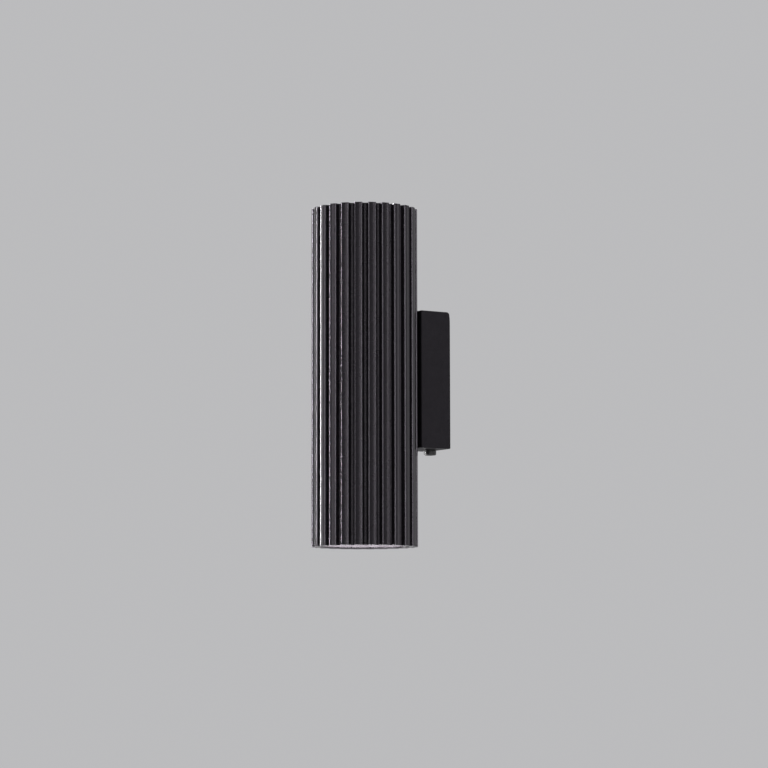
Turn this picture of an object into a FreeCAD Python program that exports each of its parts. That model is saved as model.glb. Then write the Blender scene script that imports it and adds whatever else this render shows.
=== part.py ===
import FreeCAD, Part
import math
import os

import Sketcher

# Up-and-down tube wall light, in millimetres. +Z is up, the wall is the plane Y = 0 and the light
# stands out from it towards -Y. The origin is the middle of the wall face, where the cable comes in.

SIZES = (
    # fluted tube
    ("tube_height", 200.0, "end to end"),
    ("tube_wall", 1.6, "metal left behind a groove"),
    ("lamp_room", 1.5, "between lamp and bore, all round"),
    ("rib_count", 24, "ribs round the tube"),
    ("groove_width", 3.3, "between two ribs, and twice the radius of the groove's floor"),
    ("groove_depth", 3.4, "from crest to floor"),
    ("rib_shoulder", 0.7, "radius on the long edges of a rib"),
    # cover box
    ("box_width", 26.5, "across"),
    ("box_height", 82.0, "up and down"),
    ("box_depth", 20.3, "from the wall to the tube"),
    ("box_sheet", 1.2, "sheet thickness"),
    ("box_bend", 2.0, "outer radius at the front edges"),
    ("box_seam", 0.8, "radius at the welded corner seams"),
    ("box_heel", 1.8, "radius of the top wall's edge at the wall, so that the box can tilt on"),
    # wall bracket
    ("bracket_sheet", 1.5, "sheet thickness"),
    ("bracket_gap", 0.2, "between bracket and box, all round"),
    ("bracket_bend", 2.2, "outer radius of the bends"),
    ("hook_reach", 10.0, "top tab, from the wall"),
    ("hook_width", 8.0, "upturned lip of the top tab"),
    ("hook_height", 1.0, "upturned lip, above the tab"),
    ("foot_reach", 12.0, "bottom tab, from the wall"),
    ("wall_slot_inset", 9.6, "middle of a wall screw slot, from the bracket's end"),
    ("wall_slot_width", 4.5, "for a 4 mm wall screw"),
    ("wall_slot_length", 9.0, "end to end"),
    # cable bush
    ("cable_bore", 8.0, "cable entry"),
    ("cable_bush_neck", 14.0, "diameter in the bracket's hole"),
    ("cable_bush_flange", 18.0, "diameter of the flange"),
    ("cable_bush_flange_height", 1.5, "flange thickness"),
    # lamp frame
    ("frame_width", 20.0, "strip width"),
    ("frame_sheet", 1.5, "strip thickness"),
    ("frame_bend", 2.5, "outer radius of the bends"),
    ("frame_shelf", 15.5, "outer face of a shelf, from the middle of the tube"),
    ("frame_reach", 14.0, "shelf, past the tube's axis"),
    ("shelf_window", 13.0, "hole in a shelf for the leads"),
    # wire bush
    ("wire_bush_body", 10.0, "diameter in the holes"),
    ("wire_bush_bore", 7.2, "for the leads"),
    ("wire_bush_flange", 12.4, "diameter of the flange"),
    ("wire_bush_flange_height", 1.5, "flange thickness"),
    ("wire_bush_ridge", 0.4, "height of the snap ridge"),
    ("wire_bush_tail", 2.0, "length past the lamp frame"),
    # lampholder
    ("holder_diameter", 28.0, "ceramic body"),
    ("holder_height", 17.0, "ceramic body"),
    ("holder_plate", 3.0, "thickness that the pins hook behind"),
    ("holder_fixing_spacing", 21.0, "between the two fixing screws"),
    ("contact_thickness", 0.8, "spring strip"),
    ("contact_width", 3.6, "leaf under the pin"),
    ("contact_length", 4.4, "leaf under the pin"),
    ("contact_tail_width", 3.0, "tail in its passage"),
    ("contact_tail_lift", 2.5, "end of the tail, above the shelf"),
    ("contact_gap", 0.2, "between leaf and pin"),
    ("passage_diameter", 3.4, "from the pin chamber to the shelf"),
    # lamp
    ("lamp_diameter", 50.0, "reflector lamp"),
    ("lamp_length", 54.0, "from the pin ends to the front"),
    ("lamp_rim", 9.0, "straight rim at the front"),
    ("lamp_wall", 1.6, "wall of the shell"),
    ("lamp_foot_diameter", 22.0, "shell where it meets the base"),
    ("lamp_floor", 3.0, "floor of the shell"),
    ("lamp_seat_gap", 0.2, "between lampholder and lamp"),
    ("base_diameter", 18.0, "lamp base"),
    ("base_height", 9.0, "lamp base"),
    ("pin_spacing", 10.0, "between the two pins"),
    ("pin_length", 6.5, "out of the base"),
    ("pin_head_diameter", 5.0, "pin head"),
    ("pin_head_height", 3.0, "pin head"),
    ("pin_neck_diameter", 3.0, "pin neck"),
    ("pin_root", 4.0, "pin inside the base"),
    ("lock_turn", 20.0, "degrees from locked to release"),
    ("lens_thickness", 2.5, "lamp lens"),
    ("lens_inset", 0.3, "lens behind the rim"),
    ("board_diameter", 20.0, "LED board"),
    ("board_thickness", 1.6, "LED board"),
    ("chip_width", 3.0, "LED package"),
    ("chip_height", 0.7, "LED package"),
    ("chip_ring", 11.0, "diameter of the ring of LED packages"),
    ("chip_count", 6, "LED packages"),
    # terminal block
    ("block_width", 18.0, "plate of the block"),
    ("block_height", 14.0, "plate of the block"),
    ("block_plate", 2.0, "thickness of the plate"),
    ("block_drop", 17.0, "middle of the block, below the cable entry"),
    ("block_tower_top", 11.0, "screw towers, from the bracket"),
    ("pole_spacing", 10.4, "between the two poles"),
    ("pole_lift", 4.4, "axis of a pole, from the bracket"),
    ("pole_radius", 3.2, "plastic round a pole"),
    ("tower_radius", 2.7, "plastic round a clamping screw"),
    ("clamp_spacing", 6.8, "between a pole's two clamping screws"),
    ("clamp_diameter", 2.4, "clamping screw"),
    ("clamp_length", 3.5, "clamping screw"),
    ("sleeve_diameter", 4.6, "brass sleeve"),
    ("sleeve_bore", 3.5, "brass sleeve"),
    ("sleeve_inset", 0.5, "sleeve behind the plastic, at each end"),
    ("block_web_width", 4.4, "web between the poles"),
    ("block_web_height", 5.0, "web between the poles, from the bracket"),
    # screws, washers and nuts
    ("cover_screw_setback", 6.1, "axis of the retaining screw, from the wall"),
    ("cover_screw_thread", 4.0, "retaining screw"),
    ("cover_screw_pitch", 0.7, "travel in one turn"),
    ("cover_screw_turns", 6.5, "turns until it leaves the nut"),
    ("cover_screw_shank", 8.0, "under the head"),
    ("cover_screw_head", 7.4, "head diameter"),
    ("cover_screw_head_height", 2.7, "head height"),
    ("cover_screw_round", 0.8, "rounding of the head"),
    ("cover_screw_socket", 3.0, "hexagon socket, across its flats"),
    ("cover_screw_socket_depth", 1.5, "hexagon socket"),
    ("cover_washer", 6.6, "washer diameter"),
    ("cover_washer_height", 0.5, "washer"),
    ("clinch_flats", 7.0, "nut across its flats"),
    ("clinch_height", 3.0, "nut"),
    ("head_screw_spacing", 22.0, "between the screws that hold the tube"),
    ("head_screw_thread", 4.0, "screws that hold the tube"),
    ("head_screw_tip", 1.8, "past the lamp frame"),
    ("head_screw_head", 8.0, "head diameter"),
    ("head_screw_head_height", 2.8, "head height"),
    ("head_washer", 9.0, "washer diameter"),
    ("washer_height", 0.8, "washers"),
    ("holder_screw_thread", 3.0, "lampholder fixing screws"),
    ("holder_screw_head", 5.5, "head diameter"),
    ("holder_screw_head_height", 2.0, "head height"),
    ("holder_nut_flats", 5.5, "nuts under the shelves"),
    ("holder_nut_height", 2.4, "nuts under the shelves"),
    ("block_screw_thread", 3.0, "terminal block fixing screw"),
    ("block_screw_head", 5.2, "head diameter"),
    ("block_screw_head_height", 1.8, "head height"),
    ("earth_screw_thread", 4.0, "earth screw"),
    ("earth_screw_head", 7.6, "head diameter"),
    ("earth_screw_head_height", 2.6, "head height"),
    ("earth_screw_side", 6.5, "axis, to the left of the middle"),
    ("earth_screw_rise", 16.0, "axis, above the cable entry"),
    ("slot_width", 1.0, "driver slots and cross recesses"),
    ("slot_depth", 1.2, "driver slots and cross recesses"),
    ("cross_length", 5.0, "arm to arm of a cross recess"),
    ("nut_past", 0.6, "screw end past its nut"),
    # leads and tags
    ("lead_diameter", 1.6, "over the insulation"),
    ("lead_side", 1.1, "leads in the wire bush, from its axis"),
    ("lead_pair", 1.7, "between two leads in one pole"),
    ("lead_insert", 8.0, "lead inside a pole"),
    ("tag_thickness", 0.8, "ring tags"),
    ("tag_ring", 8.0, "ring diameter"),
    ("tag_barrel", 2.5, "barrel diameter"),
    ("tag_barrel_length", 6.0, "barrel"),
    ("tag_barrel_start", 5.0, "barrel, from the ring's middle"),
    ("tag_stop", 1.0, "closed end of the barrel, which the neck runs under"),
    ("loop_room", 2.6, "between the earth lead's loop and the bracket's top tab"),
    # clearances
    ("free_fit", 0.1, "radial, a body in its hole"),
    ("thread_fit", 0.03, "radial, a screw in its thread"),
    ("slot_fit", 0.3, "hook in its slot"),
    ("pin_fit", 0.2, "pin in its lampholder, all round"),
    ("cut_past", 1.0, "how far a hole's tool runs past what it cuts"),
)

DERIVED = (
    ("tube_bore", "sizes.lamp_diameter + 2 * sizes.lamp_room"),
    ("crest_radius", "derived.tube_bore / 2 + sizes.tube_wall + sizes.groove_depth"),
    ("tube_setback", "sizes.box_depth + derived.crest_radius"),
    ("groove_centre", "derived.crest_radius - sizes.groove_depth + sizes.groove_width / 2"),
    ("box_inside", "sizes.box_depth - sizes.box_sheet"),
    ("box_half_inside", "sizes.box_height / 2 - sizes.box_sheet"),
    ("bracket_half", "sizes.box_height / 2 - sizes.box_sheet - sizes.bracket_gap"),
    ("bracket_width", "sizes.box_width - 2 * sizes.box_sheet - 2 * sizes.bracket_gap"),
    ("wall_slot_spacing", "2 * (derived.bracket_half - sizes.wall_slot_inset)"),
    ("earth_loop_top", "derived.bracket_half - sizes.bracket_sheet - sizes.loop_room"),
    ("web_face", "sqrt((derived.tube_bore / 2) ^ 2 - (sizes.frame_width / 2) ^ 2) - sizes.free_fit / 2"),
    ("web_inside", "derived.web_face - sizes.frame_sheet"),
    ("web_setback", "derived.tube_setback - derived.web_inside"),
    ("bush_body_length", "derived.web_setback - derived.box_inside + sizes.wire_bush_tail"),
    ("lamp_seat", "sizes.holder_height + sizes.lamp_seat_gap"),
    ("lamp_front", "sizes.lamp_length - sizes.pin_length"),
    ("flare_top", "derived.lamp_front - sizes.lamp_rim"),
    ("shell_floor", "sizes.base_height + sizes.lamp_floor"),
    ("shell_spread", "(sizes.lamp_diameter - sizes.lamp_foot_diameter) / 2"),
    ("shell_slope", "derived.shell_spread / (derived.flare_top - sizes.base_height)"),
    ("floor_rise", "derived.shell_slope * sizes.lamp_floor"),
    ("floor_radius", "sizes.lamp_foot_diameter / 2 + derived.floor_rise - sizes.lamp_wall"),
    ("leaf_top", "derived.lamp_seat - sizes.pin_length - sizes.contact_gap"),
    ("chamber_floor", "derived.leaf_top - sizes.contact_thickness - sizes.pin_fit"),
    ("plate_foot", "sizes.holder_height - sizes.holder_plate"),
    ("pin_travel", "sizes.pin_spacing / 2 * sizes.lock_turn * pi / 180"),
    ("chamber_radius", "sizes.pin_head_diameter / 2 + derived.pin_travel / 2 + sizes.pin_fit"),
)

REVERSE_TURN = FreeCAD.Rotation(FreeCAD.Vector(1, 0, 0), 180)
AXIS_TURNS = {
    "+z": FreeCAD.Rotation(),
    "-z": REVERSE_TURN,
    "+y": FreeCAD.Rotation(FreeCAD.Vector(1, 0, 0), -90),
    "-y": FreeCAD.Rotation(FreeCAD.Vector(1, 0, 0), 90),
}
ENDS = (("upper", 1, "+z"), ("lower", -1, "-z"))
POLES = (("live", -1), ("neutral", 1))
NEAR = 0.01
RUN_SHARE = 0.45
KEYHOLE_STEPS = 4
PAST = "sizes.cut_past"

doc = FreeCAD.newDocument("tube_wall_light")


# ---------------------------------------------------------------- sheets and values

def make_sheet(name, rows):
    """Fill a sheet with one aliased cell a row, its text beside it."""
    sheet = doc.addObject("Spreadsheet::Sheet", name)
    for number, (alias, content, note) in enumerate(rows, start=1):
        sheet.set(f"A{number}", alias)
        sheet.set(f"B{number}", content)
        sheet.setAlias(f"B{number}", alias)
        sheet.set(f"C{number}", note)
    doc.recompute()
    return sheet


sizes = make_sheet("sizes", [(name, str(number), note) for name, number, note in SIZES])
derived = make_sheet("derived", [(name, f"={formula}", "") for name, formula in DERIVED])


def size(name):
    """Read one value of either sheet as a number."""
    sheet = derived if name in dict(DERIVED) else sizes
    return float(sheet.get(name))


def bind(thing, bindings):
    """Tie properties of an object to expressions."""
    for path, expression in bindings.items():
        thing.setExpression(path, str(expression))
    return thing


def place(thing, x=0, y=0, z=0, axis="+z"):
    """Place an object by three expressions, its own Z turned to a named axis."""
    thing.Placement = FreeCAD.Placement(FreeCAD.Vector(), AXIS_TURNS[axis])
    return bind(thing, {
        ".Placement.Base.x": x,
        ".Placement.Base.y": y,
        ".Placement.Base.z": z,
    })


# ---------------------------------------------------------------- primitives and booleans

def cylinder(name, radius, height, x=0, y=0, z=0, axis="+z"):
    """A cylinder from a point along an axis."""
    solid = doc.addObject("Part::Cylinder", name)
    bind(solid, {"Radius": radius, "Height": height})
    return place(solid, x, y, z, axis)


def cuboid(name, wide, deep, high, x=0, y=0, z=0):
    """A box centred on x, from y towards -Y, centred on z."""
    solid = doc.addObject("Part::Box", name)
    bind(solid, {"Length": wide, "Width": deep, "Height": high})
    return place(solid, f"{x} - ({wide}) / 2", f"{y} - ({deep})", f"{z} - ({high}) / 2")


def hexagon(name, flats, height, x=0, y=0, z=0, axis="+z"):
    """A hexagonal prism, given across its flats."""
    solid = doc.addObject("Part::Prism", name)
    solid.Polygon = 6
    bind(solid, {"Circumradius": f"({flats}) / 2 / cos(30)", "Height": height})
    return place(solid, x, y, z, axis)


def join(name, shapes):
    """One solid from overlapping ones, or a group of separate ones."""
    if len(shapes) == 1:
        return shapes[0]
    result = doc.addObject("Part::MultiFuse", name)
    result.Shapes = shapes
    result.Refine = True
    return result


def cut(name, base, tools):
    """Take the tools away from the base."""
    result = doc.addObject("Part::Cut", name)
    result.Base = base
    result.Tool = join(f"{name}_tools", tools)
    result.Refine = True
    return result


def soften(name, base, radius, chosen):
    """Round the edges that a test picks."""
    doc.recompute()
    numbers = [number for number, edge in enumerate(base.Shape.Edges, start=1) if chosen(edge)]
    result = doc.addObject("Part::Fillet", name)
    result.Base = base
    result.Edges = [(number, radius, radius) for number in numbers]
    return result


# ---------------------------------------------------------------- bodies and sketches

def new_body(name):
    return doc.addObject("PartDesign::Body", name)


def new_sketch(body, plane, name):
    """A sketch on one of the body's own origin planes."""
    sketch = body.newObject("Sketcher::SketchObject", name)
    role = f"{plane}_Plane"
    support = next(item for item in body.Origin.OriginFeatures if item.Role == role)
    sketch.AttachmentSupport = [(support, "")]
    sketch.MapMode = "FlatFace"
    return sketch


def evaluate(expression):
    """The present value of an expression over the two sheets."""
    return float(sizes.evalExpression(str(expression)))


def tie(sketch, geometry, point, x, y):
    """Hold a point of a sketch at two expressions, from the sketch's origin."""
    for kind, axis, expression in (("DistanceX", -2, x), ("DistanceY", -1, y)):
        if expression == 0:
            sketch.addConstraint(Sketcher.Constraint("PointOnObject", geometry, point, axis))
        else:
            number = sketch.addConstraint(
                Sketcher.Constraint(kind, -1, 1, geometry, point, evaluate(expression)))
            sketch.setExpression(f"Constraints[{number}]", str(expression))


def draw_circle(sketch, radius, x=0, y=0):
    """A circle whose centre and radius follow expressions."""
    centre = FreeCAD.Vector(evaluate(x), evaluate(y))
    number = sketch.addGeometry(Part.Circle(centre, FreeCAD.Vector(0, 0, 1), evaluate(radius)))
    tie(sketch, number, 3, x, y)
    index = sketch.addConstraint(Sketcher.Constraint("Radius", number, evaluate(radius)))
    sketch.setExpression(f"Constraints[{index}]", str(radius))


def draw_outline(sketch, corners):
    """A closed outline of straight lines whose corners follow pairs of expressions."""
    points = [FreeCAD.Vector(evaluate(x), evaluate(y)) for x, y in corners]
    numbers = []
    for start, end in zip(points, points[1:] + points[:1]):
        numbers.append(sketch.addGeometry(Part.LineSegment(start, end)))
    for number, follower in zip(numbers, numbers[1:] + numbers[:1]):
        sketch.addConstraint(Sketcher.Constraint("Coincident", number, 2, follower, 1))
    for number, (x, y) in zip(numbers, corners):
        tie(sketch, number, 1, x, y)


def feature(body, kind, name, sketch, **settings):
    """A PartDesign feature on a sketch, with its plain settings and its bound length."""
    length = settings.pop("length", None)
    result = body.newObject(f"PartDesign::{kind}", name)
    result.Profile = sketch
    for option, choice in settings.items():
        setattr(result, option, choice)
    if length is not None:
        bind(result, {"Length": length})
    sketch.Visibility = False
    return result


def round_edges(body, base, name, radius, chosen):
    """A PartDesign fillet on the edges that a test picks."""
    doc.recompute()
    names = [f"Edge{number}" for number, edge in enumerate(base.Shape.Edges, start=1) if chosen(edge)]
    if not names:
        raise RuntimeError(f"no edges for {name}")
    fillet = body.newObject("PartDesign::Fillet", name)
    fillet.Base = (base, names)
    bind(fillet, {"Radius": radius})
    return fillet


def must_shrink(before, after, name):
    """Stop if a pocket took nothing away."""
    if after.Shape.Volume > before - NEAR:
        raise RuntimeError(f"{name} cuts nothing")


def runs_along(edge, axis):
    """Whether an edge is straight and lies along an axis, by its extent."""
    extent = {"x": edge.BoundBox.XLength, "y": edge.BoundBox.YLength, "z": edge.BoundBox.ZLength}
    own = extent.pop(axis)
    return own > NEAR and max(extent.values()) < NEAR


def middle(edge):
    return edge.CenterOfMass


# ---------------------------------------------------------------- fluted tube

def make_fluted_tube():
    """The ribbed tube, with its holes for the wire bush and two screws in the wall at the back."""
    body = new_body("tube_body")
    ring = new_sketch(body, "XY", "tube_ring")
    draw_circle(ring, "derived.crest_radius")
    draw_circle(ring, "derived.tube_bore / 2")
    feature(body, "Pad", "tube_pad", ring, length="sizes.tube_height")
    doc.recompute()
    volume = body.Shape.Volume

    mouth = new_sketch(body, "XY", "groove_mouth")
    half, outside = "sizes.groove_width / 2", "derived.crest_radius + sizes.groove_depth"
    draw_outline(mouth, [
        (f"-{half}", "derived.groove_centre"),
        (half, "derived.groove_centre"),
        (half, outside),
        (f"-{half}", outside),
    ])
    flanks = feature(body, "Pocket", "groove_flanks", mouth, Type="ThroughAll", Reversed=True)
    floor = new_sketch(body, "XY", "groove_floor")
    draw_circle(floor, "sizes.groove_width / 2", 0, "derived.groove_centre")
    bottom = feature(body, "Pocket", "groove_bottom", floor, Type="ThroughAll", Reversed=True)
    doc.recompute()
    must_shrink(volume, body, "groove")

    pattern = body.newObject("PartDesign::PolarPattern", "grooves")
    pattern.Originals = [flanks, bottom]
    pattern.Axis = (next(item for item in body.Origin.OriginFeatures if item.Role == "Z_Axis"), [""])
    pattern.Angle = 360
    bind(pattern, {"Occurrences": "sizes.rib_count"})
    body.Tip = pattern
    doc.recompute()

    crest = size("crest_radius")

    def on_crest(edge):
        point = middle(edge)
        return runs_along(edge, "z") and abs(math.hypot(point.x, point.y) - crest) < NEAR

    fillet = round_edges(body, pattern, "shoulders", "sizes.rib_shoulder", on_crest)
    body.Tip = fillet
    place(body, 0, "-derived.tube_setback", "-sizes.tube_height / 2")
    holes = [cylinder("tube_wire_hole", "sizes.wire_bush_body / 2 + sizes.free_fit",
                      "derived.crest_radius", 0, "-derived.tube_setback", 0, "+y")]
    for end, side, _ in ENDS:
        holes.append(cylinder(f"tube_{end}_screw_hole", "sizes.head_screw_thread / 2 + sizes.free_fit",
                              "derived.crest_radius", 0, "-derived.tube_setback",
                              f"{side} * sizes.head_screw_spacing / 2", "+y"))
    return {"fluted_tube": cut("drilled_tube", body, holes)}


# ---------------------------------------------------------------- cover box

def make_cover_box():
    """The folded box, open at the wall, with its holes and the slot for the bracket's hook."""
    body = new_body("box_body")
    front = new_sketch(body, "XZ", "box_front")
    half, tall = "sizes.box_width / 2", "sizes.box_height / 2"
    draw_outline(front, [(f"-{half}", f"-{tall}"), (half, f"-{tall}"), (half, tall), (f"-{half}", tall)])
    pad = feature(body, "Pad", "box_pad", front, length="sizes.box_depth")
    doc.recompute()
    depth, height = size("box_depth"), size("box_height") / 2

    seams = round_edges(body, pad, "box_seams", "sizes.box_seam", lambda edge: runs_along(edge, "y"))
    bends = round_edges(body, seams, "box_bends", "sizes.box_bend",
                        lambda edge: abs(edge.BoundBox.YMin + depth) < NEAR and edge.BoundBox.YLength < NEAR)
    heel = round_edges(body, bends, "box_heel_round", "sizes.box_heel",
                       lambda edge: runs_along(edge, "x") and abs(middle(edge).y) < NEAR
                       and middle(edge).z > height / 2)
    doc.recompute()
    volume = body.Shape.Volume

    hollow = new_sketch(body, "XZ", "box_hollow")
    half, tall = "(sizes.box_width / 2 - sizes.box_sheet)", "derived.box_half_inside"
    draw_outline(hollow, [(f"-{half}", f"-{tall}"), (half, f"-{tall}"), (half, tall), (f"-{half}", tall)])
    feature(body, "Pocket", "box_pocket", hollow, length="derived.box_inside", Reversed=True)
    doc.recompute()
    must_shrink(volume, body, "box hollow")
    inside, half_width = size("box_inside"), size("box_width") / 2 - size("box_sheet")

    def inner_bend(edge):
        point = middle(edge)
        return (abs(point.y + inside) < NEAR and edge.BoundBox.YLength < NEAR
                and abs(point.x) < half_width + NEAR and abs(point.z) < height)

    body.Tip = round_edges(body, body.Tip, "box_inner_bends", "sizes.box_bend - sizes.box_sheet", inner_bend)

    tools = [
        cylinder("box_wire_hole", "sizes.wire_bush_body / 2 + sizes.free_fit", "sizes.box_depth",
                 0, f"-sizes.box_depth - {PAST}", 0, "+y"),
        cylinder("box_cover_screw_hole", "sizes.cover_screw_thread / 2 + sizes.slot_fit",
                 "2 * sizes.box_sheet", 0, "-sizes.cover_screw_setback",
                 "-sizes.box_height / 2 - sizes.box_sheet / 2"),
        cuboid("box_hook_slot", "sizes.hook_width + 2 * sizes.slot_fit",
               "sizes.bracket_sheet + 2 * sizes.slot_fit", "2 * sizes.box_sheet", 0,
               "-sizes.hook_reach + sizes.bracket_sheet + sizes.slot_fit",
               "sizes.box_height / 2 - sizes.box_sheet / 2"),
    ]
    for end, side, _ in ENDS:
        tools.append(cylinder(f"box_{end}_screw_hole", "sizes.head_screw_thread / 2 + sizes.free_fit",
                              "sizes.box_depth", 0, f"-sizes.box_depth - {PAST}",
                              f"{side} * sizes.head_screw_spacing / 2", "+y"))
    return {"cover_box": cut("drilled_box", body, tools)}


# ---------------------------------------------------------------- bent strips

def bent_strip(name, profile, width, bend, inner_bend, corners):
    """A strip padded both ways from its side profile, with its bends rounded."""
    body = new_body(f"{name}_body")
    side = new_sketch(body, "YZ", f"{name}_profile")
    draw_outline(side, profile)
    pad = feature(body, "Pad", f"{name}_pad", side, length=width, SideType="Symmetric")
    doc.recompute()
    outer, inner = corners

    def at(places):
        spots = [(evaluate(y), evaluate(z)) for y, z in places]
        return lambda edge: runs_along(edge, "x") and any(
            abs(middle(edge).y - y) < NEAR and abs(middle(edge).z - z) < NEAR for y, z in spots)

    outside = round_edges(body, pad, f"{name}_outer_bends", bend, at(outer))
    body.Tip = round_edges(body, outside, f"{name}_inner_bends", inner_bend, at(inner))
    return body


def make_wall_bracket():
    """The bracket on the wall: hook at the top, screw tab at the bottom, slots for two wall screws."""
    top, thick = "derived.bracket_half", "sizes.bracket_sheet"
    inner = f"({top} - {thick})"
    profile = [
        (0, f"-{top}"), (0, top), ("-sizes.hook_reach", top), ("-sizes.hook_reach", inner),
        (f"-{thick}", inner), (f"-{thick}", f"-{inner}"), ("-sizes.foot_reach", f"-{inner}"),
        ("-sizes.foot_reach", f"-{top}"),
    ]
    bends = ([(0, top), (0, f"-{top}")], [(f"-{thick}", inner), (f"-{thick}", f"-{inner}")])
    body = bent_strip("bracket", profile, "derived.bracket_width", "sizes.bracket_bend",
                      "sizes.bracket_bend - sizes.bracket_sheet", bends)
    lip = cuboid("bracket_lip", "sizes.hook_width", thick, f"{thick} + sizes.hook_height", 0,
                 f"-sizes.hook_reach + {thick}", f"{top} - {thick} / 2 + sizes.hook_height / 2")
    tools = [
        cylinder("bracket_cable_hole", "sizes.cable_bush_neck / 2 + sizes.free_fit", f"2 * {thick}",
                 0, f"-1.5 * {thick}", 0, "+y"),
        cylinder("bracket_earth_hole", "sizes.earth_screw_thread / 2 + sizes.thread_fit", f"2 * {thick}",
                 "-sizes.earth_screw_side", f"-1.5 * {thick}", "sizes.earth_screw_rise", "+y"),
        cylinder("bracket_block_hole", "sizes.block_screw_thread / 2 + sizes.thread_fit", f"2 * {thick}",
                 0, f"-1.5 * {thick}", "-sizes.block_drop", "+y"),
        cylinder("bracket_cover_screw_hole", "sizes.cover_screw_thread / 2 + sizes.slot_fit",
                 f"2 * {thick}", 0, "-sizes.cover_screw_setback", f"-{top} - {thick} / 2"),
    ]
    straight = "(sizes.wall_slot_length - sizes.wall_slot_width)"
    for end, side, _ in ENDS:
        height = f"{side} * derived.wall_slot_spacing / 2"
        tools.append(cuboid(f"bracket_{end}_slot", "sizes.wall_slot_width", f"2 * {thick}", straight,
                            0, f"{thick} / 2", height))
        for part, turn in (("top", 1), ("foot", -1)):
            tools.append(cylinder(f"bracket_{end}_slot_{part}", "sizes.wall_slot_width / 2",
                                  f"2 * {thick}", 0, f"-1.5 * {thick}",
                                  f"{height} + {turn} * {straight} / 2", "+y"))
    return {"wall_bracket": cut("drilled_bracket", join("hooked_bracket", [body, lip]), tools)}


def make_lamp_frame():
    """The strip inside the tube: its web against the bore, a shelf for each lampholder."""
    shelf, face, thick = "sizes.frame_shelf", "derived.web_face", "sizes.frame_sheet"
    inner, under = f"({face} - {thick})", f"({shelf} - {thick})"
    tip = "-sizes.frame_reach"
    profile = [
        (face, f"-{shelf}"), (face, shelf), (tip, shelf), (tip, under),
        (inner, under), (inner, f"-{under}"), (tip, f"-{under}"), (tip, f"-{shelf}"),
    ]
    bends = ([(face, shelf), (face, f"-{shelf}")], [(inner, under), (inner, f"-{under}")])
    body = bent_strip("frame", profile, "sizes.frame_width", "sizes.frame_bend",
                      "sizes.frame_bend - sizes.frame_sheet", bends)
    tools = [
        cylinder("frame_wire_hole", "sizes.wire_bush_body / 2 + sizes.free_fit", f"2 * {thick}",
                 0, f"{inner} - {thick} / 2", 0, "+y"),
        cylinder("frame_window", "sizes.shelf_window / 2", f"2 * (sizes.frame_shelf + {PAST})", 0, 0,
                 f"-sizes.frame_shelf - {PAST}"),
    ]
    for end, side, _ in ENDS:
        tools.append(cylinder(f"frame_{end}_screw_hole",
                              "sizes.head_screw_thread / 2 + sizes.thread_fit", f"2 * {thick}", 0,
                              f"{inner} - {thick} / 2", f"{side} * sizes.head_screw_spacing / 2", "+y"))
        tools.append(cylinder(f"frame_{end}_fixing_hole",
                              "sizes.holder_screw_thread / 2 + sizes.free_fit",
                              f"2 * (sizes.frame_shelf + {PAST})", 0,
                              f"{side} * sizes.holder_fixing_spacing / 2",
                              f"-sizes.frame_shelf - {PAST}"))
    frame = cut("drilled_frame", body, tools)
    return {"lamp_frame": place(frame, 0, "-derived.tube_setback", 0)}


# ---------------------------------------------------------------- bushes

def make_cable_bush():
    """The bush in the bracket's hole, with its flange inside the box."""
    neck = cylinder("cable_neck", "sizes.cable_bush_neck / 2", "sizes.bracket_sheet", axis="-y")
    flange = cylinder("cable_flange", "sizes.cable_bush_flange / 2", "sizes.cable_bush_flange_height",
                      0, "-sizes.bracket_sheet", 0, "-y")
    hole = cylinder("cable_hole", "sizes.cable_bore / 2",
                    f"sizes.bracket_sheet + sizes.cable_bush_flange_height + 2 * {PAST}", 0, PAST, 0, "-y")
    return {"cable_bush": cut("bored_cable_bush", join("whole_cable_bush", [neck, flange]), [hole])}


def make_wire_bush():
    """The bush through box, tube and lamp frame, with a snap ridge behind the frame."""
    length = "derived.bush_body_length"
    parts = [
        cylinder("wire_flange", "sizes.wire_bush_flange / 2", "sizes.wire_bush_flange_height",
                 0, "-derived.box_inside", 0, "+y"),
        cylinder("wire_body", "sizes.wire_bush_body / 2", length, 0, "-derived.box_inside", 0, "-y"),
        cylinder("wire_ridge", "sizes.wire_bush_body / 2 + sizes.wire_bush_ridge",
                 "sizes.wire_bush_tail / 2", 0, "-derived.web_setback - sizes.free_fit", 0, "-y"),
    ]
    hole = cylinder("wire_hole", "sizes.wire_bush_bore / 2",
                    f"{length} + sizes.wire_bush_flange_height + 2 * {PAST}", 0,
                    f"-derived.box_inside + sizes.wire_bush_flange_height + {PAST}", 0, "-y")
    return {"wire_bush": cut("bored_wire_bush", join("whole_wire_bush", parts), [hole])}


# ---------------------------------------------------------------- screws, nuts and washers

def slotted_screw(name, thread, shank, head, head_height, slots):
    """A screw along +Z: the shank from 0 down, the head from 0 up, its driver slots in the head."""
    parts = [
        cylinder(f"{name}_shank", f"{thread} / 2", shank, axis="-z"),
        cylinder(f"{name}_head", f"{head} / 2", head_height),
    ]
    tools = []
    for number in range(slots):
        wide, deep = "sizes.cross_length", "sizes.slot_width"
        if slots == 1:
            wide = f"{head} + 2 * {PAST}"
        if number:
            wide, deep = deep, wide
        tool = cuboid(f"{name}_slot_{number}", wide, deep, "2 * sizes.slot_depth", 0,
                      f"({deep}) / 2", head_height)
        tools.append(tool)
    return cut(f"{name}_cut", join(f"{name}_whole", parts), tools)


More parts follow.
